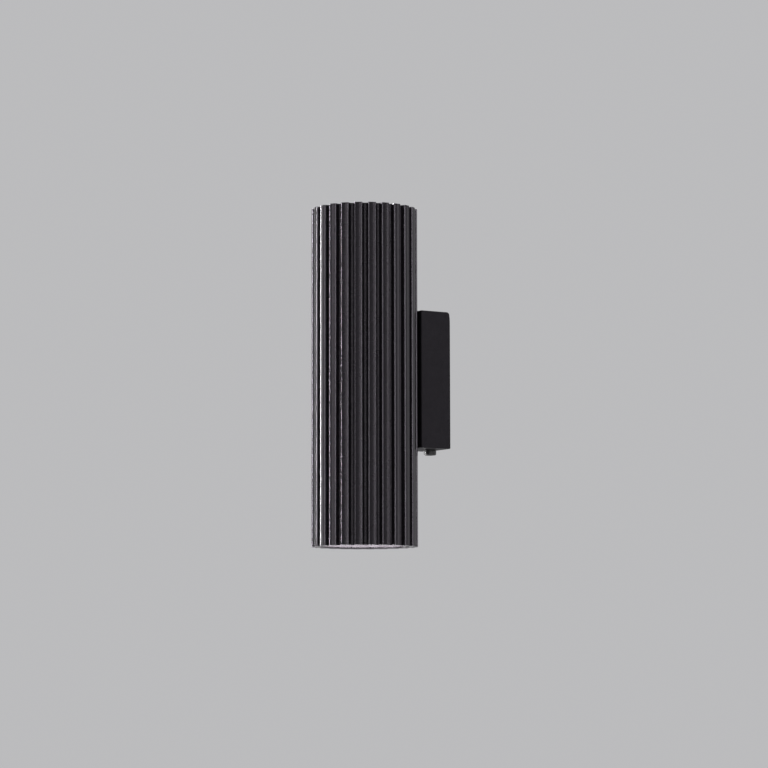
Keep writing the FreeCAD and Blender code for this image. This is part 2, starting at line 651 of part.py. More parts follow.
def make_head_screws():
    """The two screws and washers that hold box, tube and lamp frame together."""
    screws, washers = [], []
    grip = "derived.web_setback - derived.box_inside + sizes.head_screw_tip"
    for end, side, _ in ENDS:
        height = f"{side} * sizes.head_screw_spacing / 2"
        packing = "sizes.tag_thickness" if end == "upper" else "0"
        washer = cylinder(f"{end}_head_washer", "sizes.head_washer / 2", "sizes.washer_height",
                          0, f"-derived.box_inside + {packing}", height, "+y")
        hole = cylinder(f"{end}_head_washer_hole", "sizes.head_screw_thread / 2 + sizes.free_fit",
                        "3 * sizes.washer_height", 0,
                        f"-derived.box_inside + {packing} - sizes.washer_height", height, "+y")
        washers.append(cut(f"{end}_head_washer_cut", washer, [hole]))
        screw = slotted_screw(f"{end}_head_screw", "sizes.head_screw_thread",
                              f"{grip} + {packing} + sizes.washer_height", "sizes.head_screw_head",
                              "sizes.head_screw_head_height", 2)
        screws.append(place(screw, 0, f"-derived.box_inside + {packing} + sizes.washer_height",
                            height, "+y"))
    return {
        "head_screws": join("head_screw_pair", screws),
        "head_washers": join("head_washer_pair", washers),
    }


def make_cover_screw():
    """The screw under the box, its washer, and the nut that is clinched on the bracket's tab."""
    setback, foot = "-sizes.cover_screw_setback", "-sizes.box_height / 2"
    washer = cylinder("cover_washer_disc", "sizes.cover_washer / 2", "sizes.cover_washer_height",
                      0, setback, foot, "-z")
    washer_hole = cylinder("cover_washer_hole", "sizes.cover_screw_thread / 2 + sizes.free_fit",
                           "3 * sizes.cover_washer_height", 0, setback,
                           f"{foot} + sizes.cover_washer_height", "-z")
    head = cylinder("cover_screw_disc", "sizes.cover_screw_head / 2", "sizes.cover_screw_head_height")
    outer = size("cover_screw_head_height")
    rounded = soften("cover_screw_rounded", head, size("cover_screw_round"),
                     lambda edge: edge.BoundBox.ZMin > outer - NEAR and edge.BoundBox.ZLength < NEAR)
    shank = cylinder("cover_screw_shank_rod", "sizes.cover_screw_thread / 2", "sizes.cover_screw_shank",
                     axis="-z")
    socket = hexagon("cover_screw_hexagon", "sizes.cover_screw_socket",
                     "2 * sizes.cover_screw_socket_depth", 0, 0,
                     "sizes.cover_screw_head_height - sizes.cover_screw_socket_depth")
    screw = cut("cover_screw_cut", join("cover_screw_whole", [rounded, shank]), [socket])
    place(screw, 0, setback, f"{foot} - sizes.cover_washer_height", "-z")
    tab_top = "-derived.bracket_half + sizes.bracket_sheet"
    nut = hexagon("clinch_body", "sizes.clinch_flats", "sizes.clinch_height", 0, setback, tab_top)
    thread = cylinder("clinch_thread", "sizes.cover_screw_thread / 2 + sizes.thread_fit",
                      "3 * sizes.clinch_height", 0, setback, f"{tab_top} - sizes.clinch_height")
    return {
        "retaining_screw": screw,
        "screw_washer": cut("cover_washer_cut", washer, [washer_hole]),
        "clinch_nut": cut("clinch_cut", nut, [thread]),
    }


def make_holder_fixings():
    """Two screws and two nuts for each lampholder."""
    screws, nuts = [], []
    length = "sizes.holder_height - sizes.slot_depth - sizes.holder_screw_head_height"
    reach = f"{length} + sizes.frame_sheet + sizes.holder_nut_height + sizes.nut_past"
    for end, side, axis in ENDS:
        for place_name, turn in (("front", -1), ("back", 1)):
            name = f"{end}_{place_name}_holder"
            depth = f"-derived.tube_setback + {turn} * sizes.holder_fixing_spacing / 2"
            screw = slotted_screw(f"{name}_screw", "sizes.holder_screw_thread", reach,
                                  "sizes.holder_screw_head", "sizes.holder_screw_head_height", 1)
            screws.append(place(screw, 0, depth, f"{side} * (sizes.frame_shelf + {length})", axis))
            nut = hexagon(f"{name}_nut", "sizes.holder_nut_flats", "sizes.holder_nut_height")
            hole = cylinder(f"{name}_nut_hole", "sizes.holder_screw_thread / 2 + sizes.thread_fit",
                            "3 * sizes.holder_nut_height", 0, 0, "-sizes.holder_nut_height")
            under = f"{side} * (sizes.frame_shelf - sizes.frame_sheet - sizes.holder_nut_height)"
            nuts.append(place(cut(f"{name}_nut_cut", nut, [hole]), 0, depth, under, axis))
    return {
        "holder_screws": join("holder_screw_set", screws),
        "holder_nuts": join("holder_nut_set", nuts),
    }


def make_earth_fixing():
    """The bracket's earth screw, its washer, and the ring tags at both ends of the earth lead."""
    side, rise = "-sizes.earth_screw_side", "sizes.earth_screw_rise"
    seat = "-sizes.bracket_sheet - sizes.tag_thickness"
    washer = cylinder("earth_washer_disc", "sizes.earth_screw_head / 2 + sizes.free_fit",
                      "sizes.washer_height", side, seat, rise, "-y")
    washer_hole = cylinder("earth_washer_hole", "sizes.earth_screw_thread / 2 + sizes.free_fit",
                           "3 * sizes.washer_height", side, f"{seat} + sizes.washer_height", rise, "-y")
    grip = "sizes.bracket_sheet + sizes.tag_thickness + sizes.washer_height - sizes.bracket_gap"
    screw = slotted_screw("earth_screw", "sizes.earth_screw_thread", grip, "sizes.earth_screw_head",
                          "sizes.earth_screw_head_height", 1)
    place(screw, side, f"{seat} - sizes.washer_height", rise, "-y")
    tags, neck = [], "sizes.tag_barrel_start + sizes.tag_stop"
    for name, x, y, z, out in (
            ("bracket_tag", side, "-sizes.bracket_sheet", rise, -1),
            ("box_tag", "0", "-derived.box_inside", "sizes.head_screw_spacing / 2", 1)):
        axis = "+y" if out > 0 else "-y"
        barrel_y = f"{y} + {out} * (sizes.tag_barrel / 2 + sizes.free_fit)"
        slab_y = y if out < 0 else f"{y} + sizes.tag_thickness"
        parts = [
            cylinder(f"{name}_ring", "sizes.tag_ring / 2", "sizes.tag_thickness", x, y, z, axis),
            cuboid(f"{name}_neck", "sizes.tag_barrel", "sizes.tag_thickness", neck, x, slab_y,
                   f"{z} + ({neck}) / 2"),
            cylinder(f"{name}_barrel", "sizes.tag_barrel / 2", "sizes.tag_barrel_length",
                     x, barrel_y, f"{z} + sizes.tag_barrel_start"),
        ]
        tools = [
            cylinder(f"{name}_hole", "sizes.earth_screw_thread / 2 + sizes.free_fit",
                     "3 * sizes.tag_thickness", x, f"{y} - {out} * sizes.tag_thickness", z, axis),
            cylinder(f"{name}_bore", "sizes.lead_diameter / 2 + sizes.thread_fit",
                     "sizes.tag_barrel_length", x, barrel_y, f"{z} + {neck}"),
        ]
        tags.append(cut(f"{name}_cut", join(f"{name}_whole", parts), tools))
    return {
        "earth_screw": screw,
        "earth_washer": cut("earth_washer_cut", washer, [washer_hole]),
        "earth_tags": join("earth_tag_pair", tags),
    }


# ---------------------------------------------------------------- terminal block

def make_terminal_block():
    """Two poles on a plate: plastic body, brass sleeves, clamping screws and the fixing screw."""
    foot = "-sizes.bracket_sheet"
    drop = "-sizes.block_drop"
    start = "-sizes.block_drop - sizes.block_height / 2"
    lift = f"{foot} - sizes.pole_lift"
    body = [
        cuboid("block_plate_slab", "sizes.block_width", "sizes.block_plate", "sizes.block_height",
               0, foot, drop),
        cuboid("block_web", "sizes.block_web_width", "sizes.block_web_height",
               "sizes.clamp_spacing", 0, foot, drop),
    ]
    hollows = [cylinder("block_fixing_hole", "sizes.block_screw_thread / 2 + sizes.free_fit",
                        f"sizes.block_web_height + 2 * {PAST}", 0, f"{foot} + {PAST}", drop, "-y")]
    sleeves, clamps = [], []
    for pole, turn in POLES:
        x = f"{turn} * sizes.pole_spacing / 2"
        body.append(cylinder(f"{pole}_barrel", "sizes.pole_radius", "sizes.block_height", x, lift, start))
        body.append(cuboid(f"{pole}_foot", "2 * sizes.pole_radius", "sizes.pole_lift",
                           "sizes.block_height", x, foot, drop))
        hollows.append(cylinder(f"{pole}_hollow", "sizes.sleeve_diameter / 2 + sizes.thread_fit",
                                f"sizes.block_height + 2 * {PAST}", x, lift, f"{start} - {PAST}"))
        sleeve = cylinder(f"{pole}_sleeve", "sizes.sleeve_diameter / 2",
                          "sizes.block_height - 2 * sizes.sleeve_inset", x, lift,
                          f"{start} + sizes.sleeve_inset")
        cavities = [cylinder(f"{pole}_bore", "sizes.sleeve_bore / 2", f"sizes.block_height + 2 * {PAST}",
                             x, lift, f"{start} - {PAST}")]
        for row, side in (("top", 1), ("low", -1)):
            z = f"{drop} + {side} * sizes.clamp_spacing / 2"
            body.append(cylinder(f"{pole}_{row}_tower", "sizes.tower_radius",
                                 "sizes.block_tower_top - sizes.pole_lift", x, lift, z, "-y"))
            hollows.append(cylinder(f"{pole}_{row}_well",
                                    "sizes.clamp_diameter / 2 + 2 * sizes.thread_fit",
                                    "sizes.block_tower_top", x, lift, z, "-y"))
            cavities.append(cylinder(f"{pole}_{row}_thread",
                                     "sizes.clamp_diameter / 2 + sizes.thread_fit",
                                     "sizes.sleeve_diameter", x, lift, z, "-y"))
            clamp = cylinder(f"{pole}_{row}_clamp", "sizes.clamp_diameter / 2", "sizes.clamp_length",
                             x, f"{lift} - sizes.sleeve_bore / 2", z, "-y")
            notch = cuboid(f"{pole}_{row}_notch", f"sizes.clamp_diameter + {PAST}", "sizes.slot_depth",
                           "sizes.slot_width / 2", x,
                           f"{lift} - sizes.sleeve_bore / 2 - sizes.clamp_length + sizes.slot_depth / 2", z)
            clamps.append(cut(f"{pole}_{row}_clamp_cut", clamp, [notch]))
        sleeves.append(cut(f"{pole}_sleeve_cut", sleeve, cavities))
    screw = slotted_screw("block_screw", "sizes.block_screw_thread",
                          "sizes.block_web_height + sizes.bracket_sheet - sizes.bracket_gap",
                          "sizes.block_screw_head", "sizes.block_screw_head_height", 1)
    # the head sits on the web, between the poles, in a seat cut out of the towers
    hollows.append(cylinder("block_head_seat", "sizes.block_screw_head / 2 + 2 * sizes.free_fit",
                            "sizes.block_tower_top", 0, f"{foot} - sizes.block_web_height", drop, "-y"))
    return {
        "terminal_block": cut("block_cut", join("block_whole", body), hollows),
        "terminal_sleeves": join("sleeve_pair", sleeves),
        "terminal_screws": join("clamp_set", clamps),
        "terminal_fixing_screw": place(screw, 0, f"{foot} - sizes.block_web_height", drop, "-y"),
    }


# ---------------------------------------------------------------- lampholders and lamps

def round_spot(turn_expression, side):
    """The two coordinates of a pin's place at a turn about the lamp's axis."""
    return (f"{side} * sizes.pin_spacing / 2 * cos({turn_expression})",
            f"{side} * sizes.pin_spacing / 2 * sin({turn_expression})")


def make_lampholder(end, side, axis):
    """A ceramic bayonet lampholder: keyholes in its face, chambers, and its spring contacts."""
    body = cylinder(f"{end}_ceramic", "sizes.holder_diameter / 2", "sizes.holder_height")
    tools, leaves = [], []
    half_turn = "sizes.lock_turn / 2"
    for pole, turn in POLES:
        x, y = round_spot(half_turn, turn)
        tools.append(cylinder(f"{end}_{pole}_chamber", "derived.chamber_radius",
                              "derived.plate_foot - derived.chamber_floor", x, y, "derived.chamber_floor"))
        tools.append(cylinder(f"{end}_{pole}_passage", "sizes.passage_diameter / 2",
                              f"derived.chamber_floor + 2 * {PAST}", x, y, f"-{PAST}"))
        for step in range(KEYHOLE_STEPS + 1):
            spot_x, spot_y = round_spot(f"sizes.lock_turn * {step} / {KEYHOLE_STEPS}", turn)
            pin = "sizes.pin_head_diameter" if step == KEYHOLE_STEPS else "sizes.pin_neck_diameter"
            tools.append(cylinder(f"{end}_{pole}_keyhole_{step}", f"{pin} / 2 + sizes.pin_fit",
                                  f"sizes.holder_plate + 2 * {PAST}", spot_x, spot_y,
                                  f"derived.plate_foot - {PAST}"))
        leaf = cuboid(f"{end}_{pole}_leaf", "sizes.contact_length", "sizes.contact_width",
                      "sizes.contact_thickness", x, f"{y} + sizes.contact_width / 2",
                      "derived.leaf_top - sizes.contact_thickness / 2")
        tail_high = "derived.leaf_top - sizes.contact_tail_lift"
        tail = cuboid(f"{end}_{pole}_tail", "sizes.contact_thickness", "sizes.contact_tail_width",
                      tail_high, x, f"{y} + sizes.contact_tail_width / 2",
                      f"sizes.contact_tail_lift + ({tail_high}) / 2")
        leaves.append(join(f"{end}_{pole}_contact", [leaf, tail]))
    for name, turn in (("front", -1), ("back", 1)):
        y = f"{turn} * sizes.holder_fixing_spacing / 2"
        tools.append(cylinder(f"{end}_{name}_fixing", "sizes.holder_screw_thread / 2 + sizes.free_fit",
                              f"sizes.holder_height + 2 * {PAST}", 0, y, f"-{PAST}"))
        tools.append(cylinder(f"{end}_{name}_sink", "sizes.holder_screw_head / 2 + sizes.free_fit",
                              "sizes.holder_height", 0, y,
                              "sizes.holder_height - sizes.slot_depth - sizes.holder_screw_head_height"))
    holder = cut(f"{end}_holder_cut", body, tools)
    contacts = join(f"{end}_contact_pair", leaves)
    seat = f"{side} * sizes.frame_shelf"
    return {
        f"{end}_lampholder": place(holder, 0, "-derived.tube_setback", seat, axis),
        f"{end}_contacts": place(contacts, 0, "-derived.tube_setback", seat, axis),
    }


def make_lamp(end, side, axis):
    """A reflector lamp on its base: shell, lens, LED board, base and two pins."""
    seat = f"{side} * (sizes.frame_shelf + derived.lamp_seat)"

    shell = new_body(f"{end}_shell_body")
    half = new_sketch(shell, "XZ", f"{end}_shell_profile")
    rim, foot = "sizes.lamp_diameter / 2", "sizes.lamp_foot_diameter / 2"
    draw_outline(half, [
        (0, "sizes.base_height"), (foot, "sizes.base_height"), (rim, "derived.flare_top"),
        (rim, "derived.lamp_front"), (f"{rim} - sizes.lamp_wall", "derived.lamp_front"),
        (f"{rim} - sizes.lamp_wall", "derived.flare_top"), ("derived.floor_radius", "derived.shell_floor"),
        (0, "derived.shell_floor"),
    ])
    turned = shell.newObject("PartDesign::Revolution", f"{end}_shell_turned")
    turned.Profile = half
    turned.ReferenceAxis = (half, ["V_Axis"])
    turned.Angle = 360

    lens = cylinder(f"{end}_lens_disc", f"{rim} - sizes.lamp_wall - sizes.free_fit",
                    "sizes.lens_thickness", 0, 0,
                    "derived.lamp_front - sizes.lens_inset - sizes.lens_thickness")
    board = [cylinder(f"{end}_board_disc", "sizes.board_diameter / 2", "sizes.board_thickness",
                      0, 0, "derived.shell_floor")]
    for number in range(int(size("chip_count"))):
        turn = f"{number} * 360 / sizes.chip_count"
        board.append(cuboid(f"{end}_chip_{number}", "sizes.chip_width", "sizes.chip_width",
                            "sizes.chip_height", f"sizes.chip_ring / 2 * cos({turn})",
                            f"sizes.chip_ring / 2 * sin({turn}) + sizes.chip_width / 2",
                            "derived.shell_floor + sizes.board_thickness + sizes.chip_height / 2"))
    base = cylinder(f"{end}_base_body", "sizes.base_diameter / 2", "sizes.base_height")
    sockets, pins = [], []
    for pole, turn in POLES:
        x = f"{turn} * sizes.pin_spacing / 2"
        sockets.append(cylinder(f"{end}_{pole}_socket", "sizes.pin_neck_diameter / 2 + sizes.thread_fit",
                                f"sizes.pin_root + {PAST}", x, 0, f"-{PAST}"))
        pins.append(join(f"{end}_{pole}_pin", [
            cylinder(f"{end}_{pole}_pin_neck", "sizes.pin_neck_diameter / 2",
                     "sizes.pin_length + sizes.pin_root - sizes.pin_head_height / 2", x, 0,
                     "-sizes.pin_length + sizes.pin_head_height / 2"),
            cylinder(f"{end}_{pole}_pin_head", "sizes.pin_head_diameter / 2", "sizes.pin_head_height",
                     x, 0, "-sizes.pin_length"),
        ]))
    nodes = {
        f"{end}_lamp_shell": shell,
        f"{end}_lamp_lens": lens,
        f"{end}_led_board": join(f"{end}_board_whole", board),
        f"{end}_lamp_base": cut(f"{end}_base_cut", base, sockets),
        f"{end}_lamp_pins": join(f"{end}_pin_pair", pins),
    }
    place(nodes[f"{end}_lamp_lens"], 0, "-derived.tube_setback",
          f"{seat} + {side} * (derived.lamp_front - sizes.lens_inset - sizes.lens_thickness)", axis)
    for node in ("lamp_shell", "led_board", "lamp_base", "lamp_pins"):
        place(nodes[f"{end}_{node}"], 0, "-derived.tube_setback", seat, axis)
    return nodes


# ---------------------------------------------------------------- leads

def rounded_path(points):
    """Straight runs joined by tangent arcs, each as large as its two runs allow."""
    runs = [after - before for before, after in zip(points, points[1:])]
    edges, start, radii = [], points[0], []
    for before, after, corner in zip(runs, runs[1:], points[1:-1]):
        turn = before.getAngle(after)
        reach = RUN_SHARE * min(before.Length, after.Length)
        radii.append(reach / math.tan(turn / 2))
        entry = corner - FreeCAD.Vector(before).normalize() * reach
        leave = corner + FreeCAD.Vector(after).normalize() * reach
        inward = (FreeCAD.Vector(after).normalize() - FreeCAD.Vector(before).normalize()).normalize()
        sagitta = radii[-1] / math.cos(turn / 2) - radii[-1]
        edges.append(Part.LineSegment(start, entry).toShape())
        edges.append(Part.Arc(entry, corner + inward * sagitta, leave).toShape())
        start = leave
    edges.append(Part.LineSegment(start, points[-1]).toShape())
    return Part.Wire(edges), radii


def lead(name, points):
    """A lead of round section along its route."""
    radius = size("lead_diameter") / 2
    path, radii = rounded_path(points)
    first = (points[1] - points[0]).normalize()
    ring = Part.Wire(Part.makeCircle(radius, points[0], first))
    solid = path.makePipeShell([ring], True, False)
    expected = math.pi * radius * radius * path.Length
    print(name, "bend radii", [round(value, 1) for value in radii],
          "length", round(path.Length, 1), "volume ratio", round(solid.Volume / expected, 4))
    result = doc.addObject("Part::Feature", name)
    result.Shape = solid
    return result


def make_leads():
    """A live and a neutral lead to each lampholder, and the earth lead from bracket to box."""
    nodes = {}
    axis_y, shelf = -size("tube_setback"), size("frame_shelf")
    spread, offset = size("pin_spacing") / 2, size("lead_side")
    turn = math.radians(size("lock_turn") / 2)
    pole_y = -size("bracket_sheet") - size("pole_lift")
    block_top = -size("block_drop") + size("block_height") / 2
    bush_out = axis_y + size("web_inside") - size("wire_bush_tail") - offset
    bush_in = -size("box_inside") + size("wire_bush_flange_height") + offset
    for end, side, _ in ENDS:
        for pole, hand in POLES:
            tail = FreeCAD.Vector(hand * spread * math.cos(turn),
                                  axis_y + side * hand * spread * math.sin(turn),
                                  side * (shelf + size("contact_tail_lift")))
            across, height = hand * offset, side * offset
            depth = pole_y + side * size("lead_pair") / 2
            column = hand * size("pole_spacing") / 2
            nodes[f"{end}_{pole}_lead"] = lead(f"{end}_{pole}_lead_solid", [
                tail,
                FreeCAD.Vector(tail.x, tail.y, height),
                FreeCAD.Vector(across, bush_out, height),
                FreeCAD.Vector(across, bush_in, height),
                FreeCAD.Vector(column, depth, height),
                FreeCAD.Vector(column, depth, block_top - size("lead_insert")),
            ])
    barrel = size("tag_barrel") / 2 + size("free_fit")
    near = -size("bracket_sheet") - barrel
    far = -size("box_inside") + barrel
    inside = size("tag_barrel_start") + size("tag_stop")
    left, top = -size("earth_screw_side"), size("earth_loop_top")
    nodes["earth_lead"] = lead("earth_lead_solid", [
        FreeCAD.Vector(left, near, size("earth_screw_rise") + inside),
        FreeCAD.Vector(left, near, top),
        FreeCAD.Vector(0, far, top),
        FreeCAD.Vector(0, far, size("head_screw_spacing") / 2 + inside),
    ])
    return nodes


# ---------------------------------------------------------------- the whole light

def make_nodes():
    """Every sub-part, under the name of its file."""
    nodes = {}
    for maker in (make_fluted_tube, make_cover_box, make_wall_bracket, make_lamp_frame, make_cable_bush,
                  make_wire_bush, make_head_screws, make_cover_screw, make_holder_fixings,
                  make_earth_fixing, make_terminal_block):
        nodes.update(maker())
    for end, side, axis in ENDS:
        nodes.update(make_lampholder(end, side, axis))
        nodes.update(make_lamp(end, side, axis))
    nodes.update(make_leads())
    return nodes


def check(nodes):
    """Stop if anything in the document failed, or a sub-part has no valid shape."""
    for thing in doc.Objects:
        if "Invalid" in thing.State or "Error" in thing.State:
            raise RuntimeError(f"{thing.Name} failed: {thing.State}")
    for node, thing in nodes.items():
        if thing.Shape.isNull() or not thing.Shape.isValid() or not thing.Shape.Solids:
            raise RuntimeError(f"{node} has no valid solid")


def main():
    nodes = make_nodes()
    for node, thing in nodes.items():
        thing.Label = node
    doc.recompute()
    check(nodes)
    os.makedirs("parts", exist_ok=True)
    for node, thing in nodes.items():
        thing.Shape.exportStep(f"parts/{node}.step")
        print(node, len(thing.Shape.Solids), "solid", round(thing.Shape.Volume, 1), "mm3")


main()
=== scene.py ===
"""Looks of the fluted tube wall light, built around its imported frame.

Lengths are in metres. +Z is up, the wall is the plane Y = 0, and the light stands out from it
towards -Y. The origin is the middle of the wall face, where the mains cable comes in.
"""
import logging
import math
from dataclasses import dataclass
from enum import Enum
from typing import Iterable, Sequence

import bmesh
import bpy
from mathutils import Matrix, Vector


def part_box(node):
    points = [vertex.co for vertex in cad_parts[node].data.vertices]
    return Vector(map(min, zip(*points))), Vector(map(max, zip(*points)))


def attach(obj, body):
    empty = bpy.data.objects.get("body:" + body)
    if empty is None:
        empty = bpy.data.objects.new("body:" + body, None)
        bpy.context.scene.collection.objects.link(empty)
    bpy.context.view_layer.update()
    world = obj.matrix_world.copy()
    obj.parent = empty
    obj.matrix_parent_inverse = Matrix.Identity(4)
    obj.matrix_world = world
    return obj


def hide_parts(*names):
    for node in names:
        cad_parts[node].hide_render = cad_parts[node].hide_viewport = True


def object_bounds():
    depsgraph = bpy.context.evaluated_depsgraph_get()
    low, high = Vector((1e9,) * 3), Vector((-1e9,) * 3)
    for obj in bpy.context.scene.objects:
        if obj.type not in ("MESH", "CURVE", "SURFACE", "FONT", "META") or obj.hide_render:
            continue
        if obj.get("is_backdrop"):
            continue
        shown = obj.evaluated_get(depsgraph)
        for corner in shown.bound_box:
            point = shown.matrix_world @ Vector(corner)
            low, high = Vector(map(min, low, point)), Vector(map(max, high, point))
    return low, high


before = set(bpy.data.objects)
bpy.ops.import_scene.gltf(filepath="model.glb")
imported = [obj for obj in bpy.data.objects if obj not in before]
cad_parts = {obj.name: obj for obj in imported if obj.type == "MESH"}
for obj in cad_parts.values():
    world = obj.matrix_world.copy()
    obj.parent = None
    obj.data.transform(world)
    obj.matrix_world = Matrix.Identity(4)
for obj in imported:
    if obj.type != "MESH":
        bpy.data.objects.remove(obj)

log = logging.getLogger("tube_wall_light")

MM = 0.001
MERGE = 1e-6
CREASE = math.radians(28)
STEEP = 0.5  # a face whose normal has more than this along an axis faces that way
PARALLEL = 0.999  # an edge with more than this along an axis runs along it
ALMOST = 0.999  # share of a half width that a rounding takes, so that two never meet

Colour = tuple[float, float, float]
Point = tuple[float, float]
Socket = bpy.types.NodeSocket
Mesh = bmesh.types.BMesh
Piece = bpy.types.Object


class End(Enum):
    """The two ends of the light, each with the way it points along Z."""

    UPPER = 1
    LOWER = -1

    @property
    def prefix(self) -> str:
        """Start of the names of this end's nodes."""
        return self.name.lower()


class Core(Enum):
    """What a lead carries, with the colour of its insulation."""

    LIVE = (0.16, 0.062, 0.028)
    NEUTRAL = (0.035, 0.13, 0.42)
    EARTH = (0.10, 0.33, 0.045)


# ---------------------------------------------------------------- node trees

class Recipe:
    """A material's node tree, with short ways to add nodes and to join them."""

    def __init__(self, name: str) -> None:
        """Start a material that holds only a Principled shader."""
        self.material = bpy.data.materials.new(name)
        self.material.use_nodes = True
        self.tree = self.material.node_tree
        self.shader = self.tree.nodes["Principled BSDF"]
        self.place = self.add("ShaderNodeTexCoord").outputs["Object"]

    def add(self, kind: str, **settings) -> bpy.types.Node:
        """Add a node.

        Args:
            kind: The node's type.
            **settings: Attributes of the node.

        Returns:
            The new node.
        """
        node = self.tree.nodes.new(kind)
        for name, value in settings.items():
            setattr(node, name, value)
        return node

    def join(self, source: Socket, target: Socket) -> None:
        """Link one socket to another."""
        self.tree.links.new(source, target)

    def stretched(self, scale: Colour, shift: Colour = (0, 0, 0)) -> Socket:
        """Object coordinates, scaled by axis and shifted.

        Args:
            scale: Factor along each axis.
            shift: Shift in metres, before the scale.

        Returns:
            The socket with the new coordinates.
        """
        mapping = self.add("ShaderNodeMapping")
        mapping.inputs["Scale"].default_value = scale
        mapping.inputs["Location"].default_value = [a * b for a, b in zip(scale, shift)]
        self.join(self.place, mapping.inputs["Vector"])
        return mapping.outputs["Vector"]

    def noise(self, size: float, detail: float = 2.0,
              place: Socket | None = None) -> Socket:
        """Smooth noise with a given size of grain.

        Args:
            size: Size of the grain in metres.
            detail: Octaves.
            place: Coordinates, or None for Object coordinates.

        Returns:
            The noise, about 0 to 1.
        """
        texture = self.add("ShaderNodeTexNoise")
        texture.inputs["Scale"].default_value = 1 / size
        texture.inputs["Detail"].default_value = detail
        self.join(place or self.place, texture.inputs["Vector"])
        return texture.outputs["Fac"]

    def cells(self, size: float, feature: str = "F1",
              place: Socket | None = None) -> Socket:
        """Distance in a field of cells with a given size.

        Args:
            size: Size of a cell in metres.
            feature: Which distance.
            place: Coordinates, or None for Object coordinates.

        Returns:
            The distance, about 0 to 1.
        """
        texture = self.add("ShaderNodeTexVoronoi", feature=feature)
        texture.inputs["Scale"].default_value = 1 / size
        self.join(place or self.place, texture.inputs["Vector"])
        return texture.outputs["Distance"]

    def spread(self, value: Socket, low: float, high: float,
               start: float = 0.3, stop: float = 0.7) -> Socket:
        """Map a range of a value onto another, clamped.

        Args:
            value: The value.
            low: Result at start.
            high: Result at stop.
            start: Lower end of the value's range.
            stop: Upper end of the value's range.

        Returns:
            The mapped value.
        """
        node = self.add("ShaderNodeMapRange", clamp=True)
        ends = {"From Min": start, "From Max": stop, "To Min": low, "To Max": high}
        for name, number in ends.items():
            node.inputs[name].default_value = number
        self.join(value, node.inputs["Value"])
        return node.outputs["Result"]

    def sums(self, first: Socket, second: Socket,
             operation: str = "ADD") -> Socket:
        """Two values put together by a Math node."""
        node = self.add("ShaderNodeMath", operation=operation)
        self.join(first, node.inputs[0])
        self.join(second, node.inputs[1])
        return node.outputs["Value"]

    def blend(self, factor: Socket, low: Colour, high: Colour) -> Socket:
        """A colour between two, by a factor."""
        ramp = self.add("ShaderNodeValToRGB")
        ramp.color_ramp.elements[0].color = (*low, 1)
        ramp.color_ramp.elements[1].color = (*high, 1)
        self.join(factor, ramp.inputs["Fac"])
        return ramp.outputs["Color"]

    def raise_bumps(self, height: Socket, depth: float, strength: float = 1.0) -> None:
        """Put a bump on the shader, over any bump that is there.

        Args:
            height: Height field, 0 to 1.
            depth: Height in metres at 1.
            strength: Share of the bump.
        """
        bump = self.add("ShaderNodeBump")
        bump.inputs["Distance"].default_value = depth
        bump.inputs["Strength"].default_value = strength
        self.join(height, bump.inputs["Height"])
        before = self.shader.inputs["Normal"].links
        if before:
            self.join(before[0].from_socket, bump.inputs["Normal"])
        self.join(bump.outputs["Normal"], self.shader.inputs["Normal"])

    def set(self, **values: float | Colour) -> None:
        """Set the shader's own sockets, each named with underscores for its spaces."""
        for name, value in values.items():
            socket = self.shader.inputs[name.replace("_", " ")]
            socket.default_value = (*value, 1) if isinstance(value, tuple) else value

    def feed(self, name: str, value: Socket) -> None:
        """Link a value to one of the shader's sockets."""
        self.join(value, self.shader.inputs[name])


# ---------------------------------------------------------------- finishes

@dataclass(frozen=True)
class Finish:
    """A finish: colour and roughness that vary over a grain, and a fine bump."""

    name: str
    dark: Colour
    light: Colour
    smooth: float
    rough: float
    grain: float = 3 * MM
    texture: float = 0.25 * MM
    relief: float = 0.004 * MM
    metallic: float = 0.0

    def build(self) -> bpy.types.Material:
        """Make the material.

        Returns:
            The material.
        """
        recipe = Recipe(self.name)
        recipe.set(Metallic=self.metallic)
        self.colour(recipe)
        self.polish(recipe)
        self.detail(recipe)
        return recipe.material

    def colour(self, recipe: Recipe) -> None:
        """Vary the colour over the grain."""
        patches = recipe.spread(recipe.noise(self.grain, 4), 0, 1)
        recipe.feed("Base Color", recipe.blend(patches, self.dark, self.light))

    def polish(self, recipe: Recipe) -> None:
        """Vary the roughness over a smaller grain."""
        recipe.feed("Roughness", recipe.spread(recipe.noise(self.grain / 2, 5), self.smooth, self.rough))

    def detail(self, recipe: Recipe) -> None:
        """Add the surface's fine relief."""
        recipe.raise_bumps(recipe.noise(self.texture, 3), self.relief)


@dataclass(frozen=True)
class SatinCoat(Finish):
    """Thin satin coating over extruded metal, whose draw lines still show along Z."""

    line: float = 0.35 * MM
    line_length: float = 60 * MM
    line_relief: float = 0.00012 * MM
    shine: float = 0.25
    sheen_tint: Colour = (0.97, 0.89, 1.0)

    def detail(self, recipe: Recipe) -> None:
        """Add orange peel and draw lines."""
        super().detail(recipe)
        lines = recipe.noise(self.line, 3, recipe.stretched((1, 1, self.line / self.line_length)))
        recipe.raise_bumps(lines, self.line_relief)
        recipe.set(Specular_IOR_Level=self.shine, Specular_Tint=self.sheen_tint)


